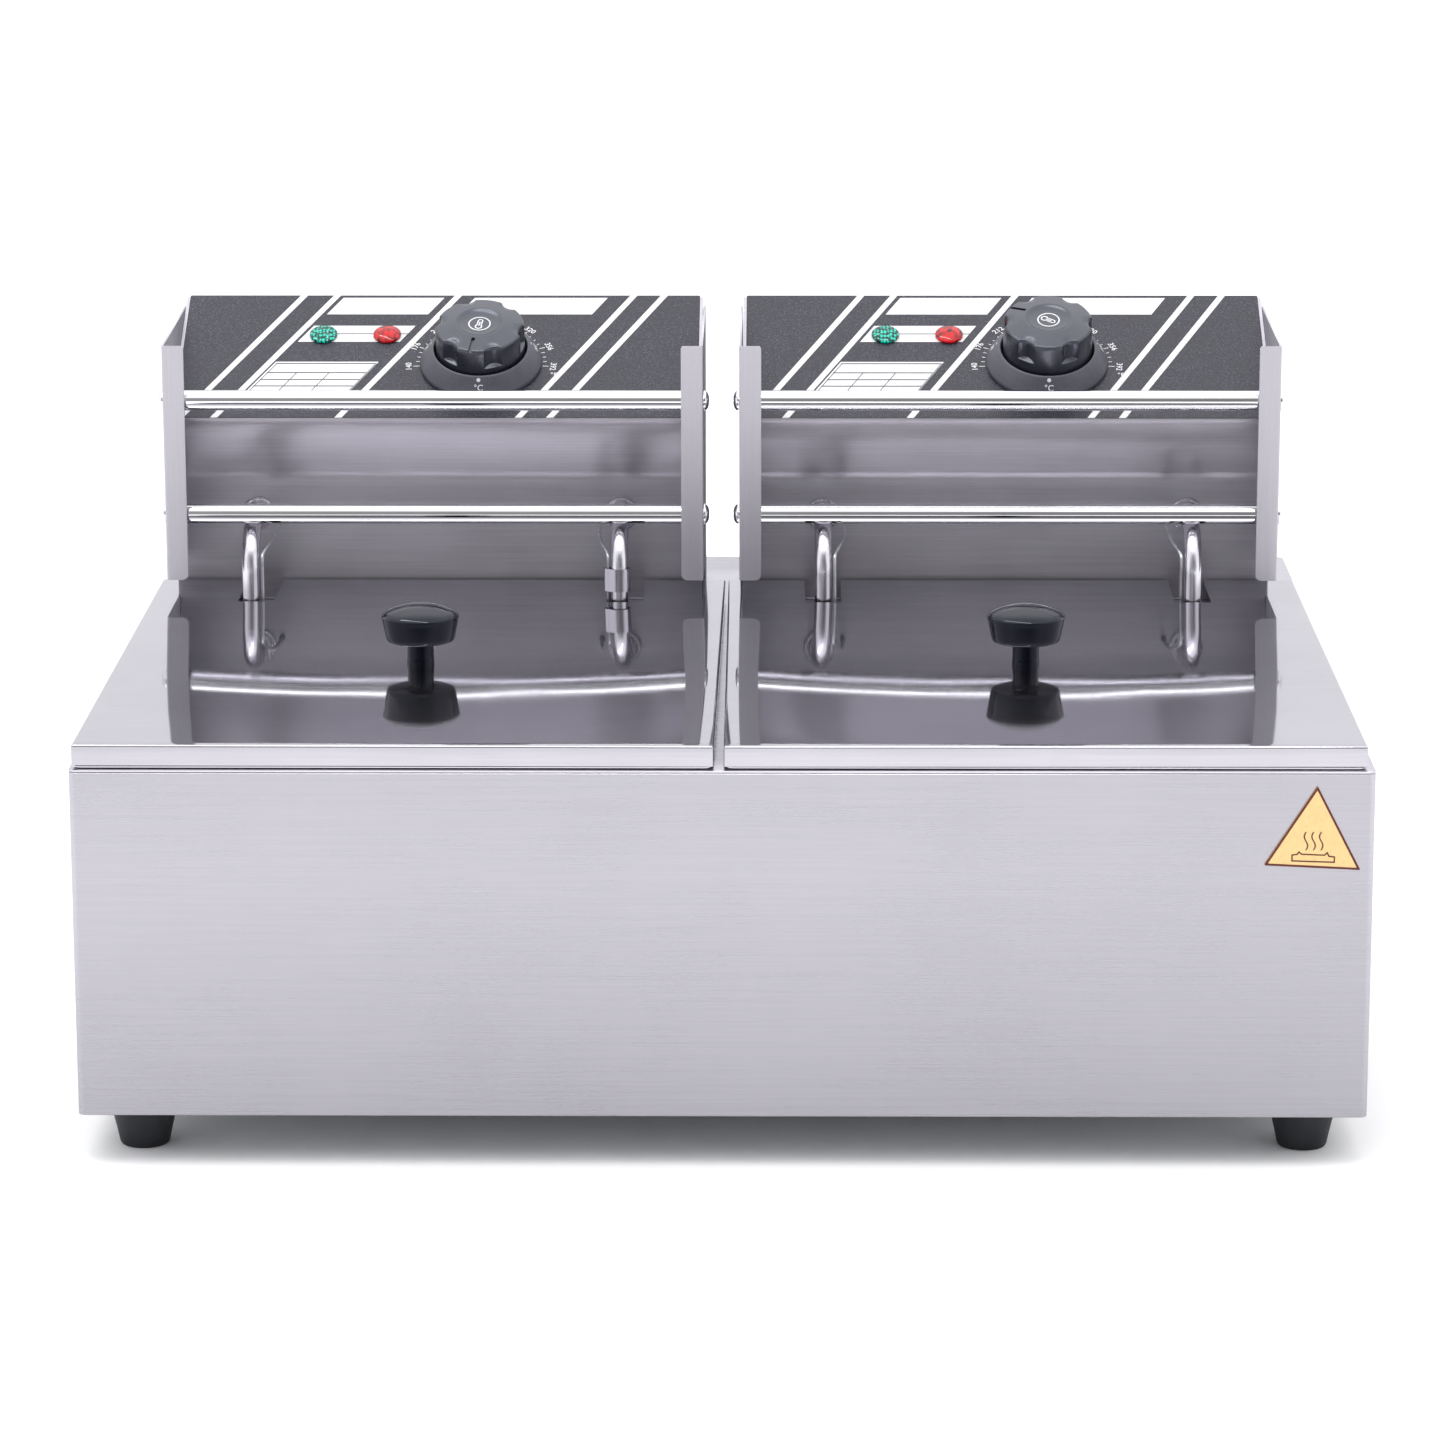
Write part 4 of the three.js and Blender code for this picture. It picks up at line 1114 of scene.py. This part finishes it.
# ---------------------------------------------------------------- dial, knob and lamps
BEZEL_R, BEZEL_BORE, BEZEL_TOP = 29.0, 22.2, 9.7
CONE_LOW, CONE_HIGH = (BEZEL_R - 0.25, 2.35), (BEZEL_BORE + 1.5, BEZEL_TOP - 0.6)
KNOB_R, KNOB_BOTTOM, KNOB_EDGE, KNOB_TOP, KNOB_FLOOR = 21.2, 2.0, 22.8, 24.8, 23.3
KNOB_FILLET, DISH_R = 1.7, 10.8
FLUTES, FLUTE_R, FLUTE_DEPTH, FLUTE_START, FLUTE_END = 6, 6.6, 2.2, 12.4, 13.4
KNOB_FALL = (KNOB_TOP - KNOB_EDGE) / (KNOB_R - 1.6 - DISH_R)


def bezel(side):
    """Conical dial ring."""
    profile = [(BEZEL_BORE, GAP), (BEZEL_R - 0.2, GAP), (BEZEL_R, GAP + 0.3), (BEZEL_R, 1.9), CONE_LOW,
               CONE_HIGH, (BEZEL_BORE + 0.9, BEZEL_TOP - 0.1), (BEZEL_BORE + 0.4, BEZEL_TOP),
               (BEZEL_BORE, BEZEL_TOP - 0.4)]
    return turned(profile, 96).at(side.dial_place)


def bezel_print(side):
    """White dot, degree sign and Celsius figures lying on the dial ring's cone."""
    drop = math.atan2(CONE_HIGH[1] - CONE_LOW[1], CONE_LOW[0] - CONE_HIGH[0])
    low, high, front = -0.03, 0.05, -math.pi / 2

    def on_cone(shape, angle, radius, turn=0.0):
        height = CONE_HIGH[1] - (radius - CONE_HIGH[0]) * math.tan(drop) + 0.04
        face = Matrix.Rotation(angle - math.pi / 2, 4, "Z") @ Matrix.Translation((0, radius, height))
        return shape.at(face @ Matrix.Rotation(-drop, 4, "X") @ Matrix.Rotation(turn, 4, "Z"))

    shapes = [on_cone(rod(0.95, low, high, 20), front, 24.3),
              on_cone(lettering("°C", 2.9, 0.06), front, 26.6, math.pi)]
    for i in range(8):
        angle = math.radians(168 - i * (168 - 12) / 7)
        shapes.append(on_cone(block(-0.75, 0.75, -0.3, 0.3, low, high), angle, 24.5))
        shapes.append(on_cone(lettering(str(60 + 20 * i), 2.5, 0.06), angle, 26.5))
    return joined(shapes).at(side.dial_place)


def flute_cut(angle):
    """Depth cut into the knob's wall at an angle from the pointer by the nearest round flute."""
    pitch = 2 * math.pi / FLUTES
    off = (angle % pitch) - pitch / 2
    reach = KNOB_R - FLUTE_DEPTH + FLUTE_R
    inside = FLUTE_R ** 2 - (reach * math.sin(off)) ** 2
    if inside <= 0:
        return 0.0
    return max(0.0, KNOB_R - (reach * math.cos(off) - math.sqrt(inside)))


def fluted(radius, height, angle):
    """The knob's radius at an angle: flutes with sloped ends, running out over the coned top."""
    cut, inner, shoulder = flute_cut(angle + math.pi / 2), 16.0, KNOB_R - KNOB_FILLET
    if radius < shoulder - 0.1:
        return radius - cut * max(0.0, (radius - inner) / (shoulder - inner))
    room = min(1.0, max(0.0, (height - FLUTE_START) / (FLUTE_END - FLUTE_START)))
    return radius - min(cut, FLUTE_DEPTH * room)


def knob():
    """Fluted knob: round foot, flutes, a rounded edge, a coned top with its dish and a pointer groove."""
    profile = [(0, KNOB_BOTTOM), (KNOB_R - 0.4, KNOB_BOTTOM), (KNOB_R, KNOB_BOTTOM + 0.4)]
    for low, high, steps in ((KNOB_BOTTOM + 1, FLUTE_START, 4), (FLUTE_START, FLUTE_END, 8),
                             (FLUTE_END, KNOB_EDGE - KNOB_FILLET, 6)):
        profile += [(KNOB_R, low + (high - low) * k / steps) for k in range(steps)]
    profile += [(KNOB_R - KNOB_FILLET * b, KNOB_EDGE - KNOB_FILLET * (1 - a)) for a, b in quarter(6)]
    profile += [(r, KNOB_TOP - (r - DISH_R) * KNOB_FALL) for r in (19.0, 17.6, 16.4, 15.0, 13.4, 12.0)]
    dish = [(11.3, 0.14), (DISH_R, 0.24), (10.3, 0.5), (9.6, 0.9), (8.6, 1.22), (7.2, 1.40), (5.4, 1.48),
            (2.8, 1.50)]
    profile += [(r, KNOB_TOP - drop) for r, drop in dish] + [(0, KNOB_FLOOR)]
    groove_r = 16.6
    groove = block(-0.85, 0.85, -4.8, 4.2, -1.2, 3).at(Matrix.Rotation(math.atan(KNOB_FALL), 4, "X"))
    groove = groove.moved(0, -groove_r, KNOB_TOP - (groove_r - DISH_R) * KNOB_FALL)
    return boolean(turned(profile, FLUTES * 40, fluted), groove, rod(3.3, 0, 12.3, 32))


def knob_icon():
    """A ring round a small thermometer, standing a hair above the dish's floor."""
    base, top, bulb_y = KNOB_FLOOR - 0.1, KNOB_FLOOR + 0.2, -2.2
    ring = turned([(4.75, base), (5.35, base), (5.35, top), (4.75, top)], 56)
    stem = prism(rectangle(-1.3, 1.3, -1.4, 3.6, 1.25, 6), base, top)
    core = prism(rectangle(-0.75, 0.75, -1.6, 3.1, 0.7, 5), base - 1, top + 1)
    mercury = prism(rectangle(-0.3, 0.3, -1.5, 1.6, 0.25, 4), base, top)
    outside = boolean(stem, rod(1.8, base, top, 32).moved(0, bulb_y), how="UNION")
    return ring + boolean(outside, core, rod(1.2, base - 1, top + 1, 24).moved(0, bulb_y)) + mercury


def shaft(side):
    """Thermostat spindle with its flat."""
    shape = turned([(0, -18), (3, -18), (3, 11.6), (2.6, 12), (0, 12)], 32)
    return boolean(shape, block(1.8, 5, -5, 5, 3, 14)).at(side.dial_place)


def lamp(side, colour):
    """Signal lamp: a collared body and a domed lens, faceted on the green one."""
    rim, collar, dome, segments, steps = 6.6, 1.2, 2.4, 64, 15
    cell, cut = 1.9, 0.5 if colour == "green" else 0.0

    def ring(r, height):
        points = []
        for k in range(segments):
            a = 2 * math.pi * k / segments
            x, y = r * math.cos(a), r * math.sin(a)
            wave = abs(((x + y) / cell) % 1 - 0.5) + abs(((x - y) / cell) % 1 - 0.5)
            faceted = cut * wave * min(1, (rim - r) / 1.5) if height > collar else 0.0
            points.append((x, y, height - faceted))
        return points

    rings = [ring(r, h) for r, h in ((5, -20), (5, GAP), (6.4, GAP), (rim, GAP + 0.2), (rim, collar))]
    for i in range(1, steps):
        r = rim * math.cos(i / steps * math.pi / 2) ** 0.8
        rings.append(ring(r, collar + dome * (1 - (r / rim) ** 2) ** 0.8))
    return loft(rings).at(side.on_panel(*LAMPS[colour]))


# ---------------------------------------------------------------- putting the fryer together
sides = [Side("left"), Side("right")]

piece("casing", casing_shell(), "root", casing_steel, "casing_steel", ["outer_casing"], crease=28)
piece("deck", deck_sheet(sides), "root", deck_steel, "deck_steel", ["top_deck"], crease=28)
for corner in ("front_left", "front_right", "rear_right", "rear_left"):
    spot = centre("foot_" + corner)
    piece("rubber_foot_" + corner, foot().moved(spot.x, spot.y), "root", rubber, "foot_rubber",
          ["foot_" + corner])
hot_surface_label()


def finished(node, material):
    """A carried-over CAD node gets its finish."""
    slots = nodes[node].data.materials
    slots.clear()
    slots.append(material)


def build_side(side):
    """Every piece of one half of the fryer, on its body and in place of its CAD node."""
    head, lid, dial = side.head, side.lid, side.node("dial")

    def put(name, shape, body, material, slot, *stands_for, **options):
        piece(side.node(name), shape, body, material, slot, [side.node(n) for n in stands_for], **options)

    put("pan", oil_pot(side), "root", pot_steel, "pot_steel", "oil_pot")
    put("lid_pressing", lid_sheet(side), lid, lid_steel, "lid_steel", "lid")
    put("lid_button", lid_knob(side), lid, gloss_black, "black_gloss", "lid_knob")
    put("wire_basket", basket(side), side.node("basket"), wire_chrome, "wire_chrome", "basket", crease=50)
    put("housing", housing(side), head, head_steel, "head_steel", "head_housing", crease=25)
    put("panel_sheet", panel_sheet(side), head, head_steel, "head_steel", "control_panel", crease=25)
    panel_print(side)
    for hand, s in (("left", -1), ("right", 1)):
        put("plate_" + hand, cheek(side, s, "cheek_" + hand), head, cheek_steel, "head_steel",
            "cheek_" + hand, crease=30)
    for level in BAR_YZ:
        put(level + "_rail", bar(side, level), head, bar_chrome, "bar_chrome", level + "_bar")
        for hand, s in (("left", -1), ("right", 1)):
            suffix = f"{level}_screw_{hand}"
            put(f"{level}_bolt_{hand}", screw(side, suffix, s), head, bar_chrome, "bar_chrome", suffix)
    put("element", heating_element(side), head, tube_steel, "element_steel", "heating_element")
    put("probe_clip", sensor_clip(side), head, clip_steel, "element_steel", "sensor_clip", crease=40)
    put("thermostat_body", thermostat(side), head, zinc, "galvanised", "thermostat")
    put("limiter_body", limiter(side), head, zinc, "galvanised", "limit_thermostat")
    put("gland", cable_gland(side), head, knob_black, "black_gloss", "cable_gland")
    put("dial_ring", bezel(side), head, bezel_grey, "bezel_grey", "knob_bezel")
    put("dial_ring_figures", bezel_print(side), head, white_ink, "panel_print")
    put("spindle", shaft(side), dial, zinc, "galvanised", "thermostat_shaft")
    put("control_knob", knob().at(side.knob_place), dial, knob_black, "knob_black", "temperature_knob",
        crease=38)
    put("knob_icon", knob_icon().at(side.knob_place), dial, white_ink, "panel_print")
    put("green_signal", lamp(side, "green"), head, green_lens, "lens_green", "green_lamp", crease=12)
    put("red_signal", lamp(side, "red"), head, red_lens, "lens_red", "red_lamp")
    put("reset_pin", reset_button(side), side.node("reset"), red_plastic, "button_red", "reset_button")
    finished(side.node("terminal_block"), ceramic)


for each in sides:
    build_side(each)
finished("base_plate", zinc)


# ---------------------------------------------------------------- studio
FRONT_DIM = (-0.95, -0.50)       # the world's Y where the dim front begins and ends
FRONT_LEVEL, SIDE_LEVEL = 0.42, 1.25
RIGHT_SHARE = 0.42               # the right half of the front is this much of the left half
CEILING_EDGE = (0.54, 0.80)      # sines of elevation between which the ceiling's light starts
CEILING_LEVEL = 1.98


def floor():
    """A plain pale sheet under the fryer."""
    mesh = bpy.data.meshes.new("floor")
    reach = 30.0
    mesh.from_pydata([(-reach, -reach, 0), (reach, -reach, 0), (reach, reach, 0), (-reach, reach, 0)], [],
                     [(0, 1, 2, 3)])
    m = Material("paper", Roughness=0.9, **{"Specular IOR Level": 0.0})
    m.colour(m.noise(2, detail=2), [(0.3, (0.90, 0.90, 0.905, 1)), (0.7, (0.93, 0.93, 0.935, 1))])
    mesh.materials.append(m.data)
    linked("floor", mesh)


def soft_box(name, location, target, size, watts):
    """A rectangular studio light turned to its target, hidden from the camera."""
    light = bpy.data.lights.new(name, "AREA")
    light.shape, light.size, light.size_y, light.energy = "RECTANGLE", *size, watts
    obj = linked(name, light)
    obj.location = location
    obj.rotation_euler = (Vector(target) - Vector(location)).to_track_quat("-Z", "Y").to_euler()
    obj.visible_camera = False


def studio_world():
    """White to the camera; to surfaces, a bright ceiling, bright back and sides and a dimmer front."""
    world = bpy.data.worlds.new("studio")
    bpy.context.scene.world = world
    n = Nodes(world)
    x, y, z = n.add("SeparateXYZ", {"Vector": n.add("TexCoord").outputs["Generated"]}).outputs
    front = n.spread(x, -0.35, 0.35, FRONT_LEVEL, FRONT_LEVEL * RIGHT_SHARE, "SMOOTHSTEP")
    walls = n.blend(SIDE_LEVEL, front, n.spread(y, *FRONT_DIM, 0.0, 1.0, "SMOOTHSTEP"))
    level = n.blend(CEILING_LEVEL, walls, n.spread(z, *CEILING_EDGE, 0.0, 1.0, "SMOOTHSTEP"))
    seen = n.add("Background", {"Color": (1, 1, 1, 1), "Strength": 1.0})
    lit = n.add("Background", {"Color": (0.985, 0.985, 1.0, 1), "Strength": level})
    mix = n.add("MixShader", {0: n.add("LightPath").outputs["Is Camera Ray"], 1: lit.outputs[0],
                              2: seen.outputs[0]})
    n.add("OutputWorld", {"Surface": mix.outputs[0]})


def camera():
    """A long lens in front, looking slightly down, slightly to the left."""
    data = bpy.data.cameras.new("camera")
    data.lens, data.sensor_width = 134.53, 36.0
    data.clip_start, data.clip_end = 0.05, 100.0
    obj = linked("camera", data)
    down, left, roll = math.radians(13.559), math.radians(0.675), math.radians(-0.091)
    aim = (Matrix.Rotation(left, 4, "Z") @ Matrix.Rotation(math.pi / 2 - down, 4, "X")
           @ Matrix.Rotation(roll, 4, "Z"))
    front = extent("outer_casing")[0].y * MM
    obj.matrix_world = Matrix.Translation((0.0265, front - 2.1996, 0.7257)) @ aim
    bpy.context.scene.camera = obj


floor()
studio_world()
soft_box("key", (-0.3, -0.42, 1.6), (0, 0, 0.1), (1.8, 0.11), 9)
camera()
bpy.context.scene.view_settings.view_transform = "Standard"
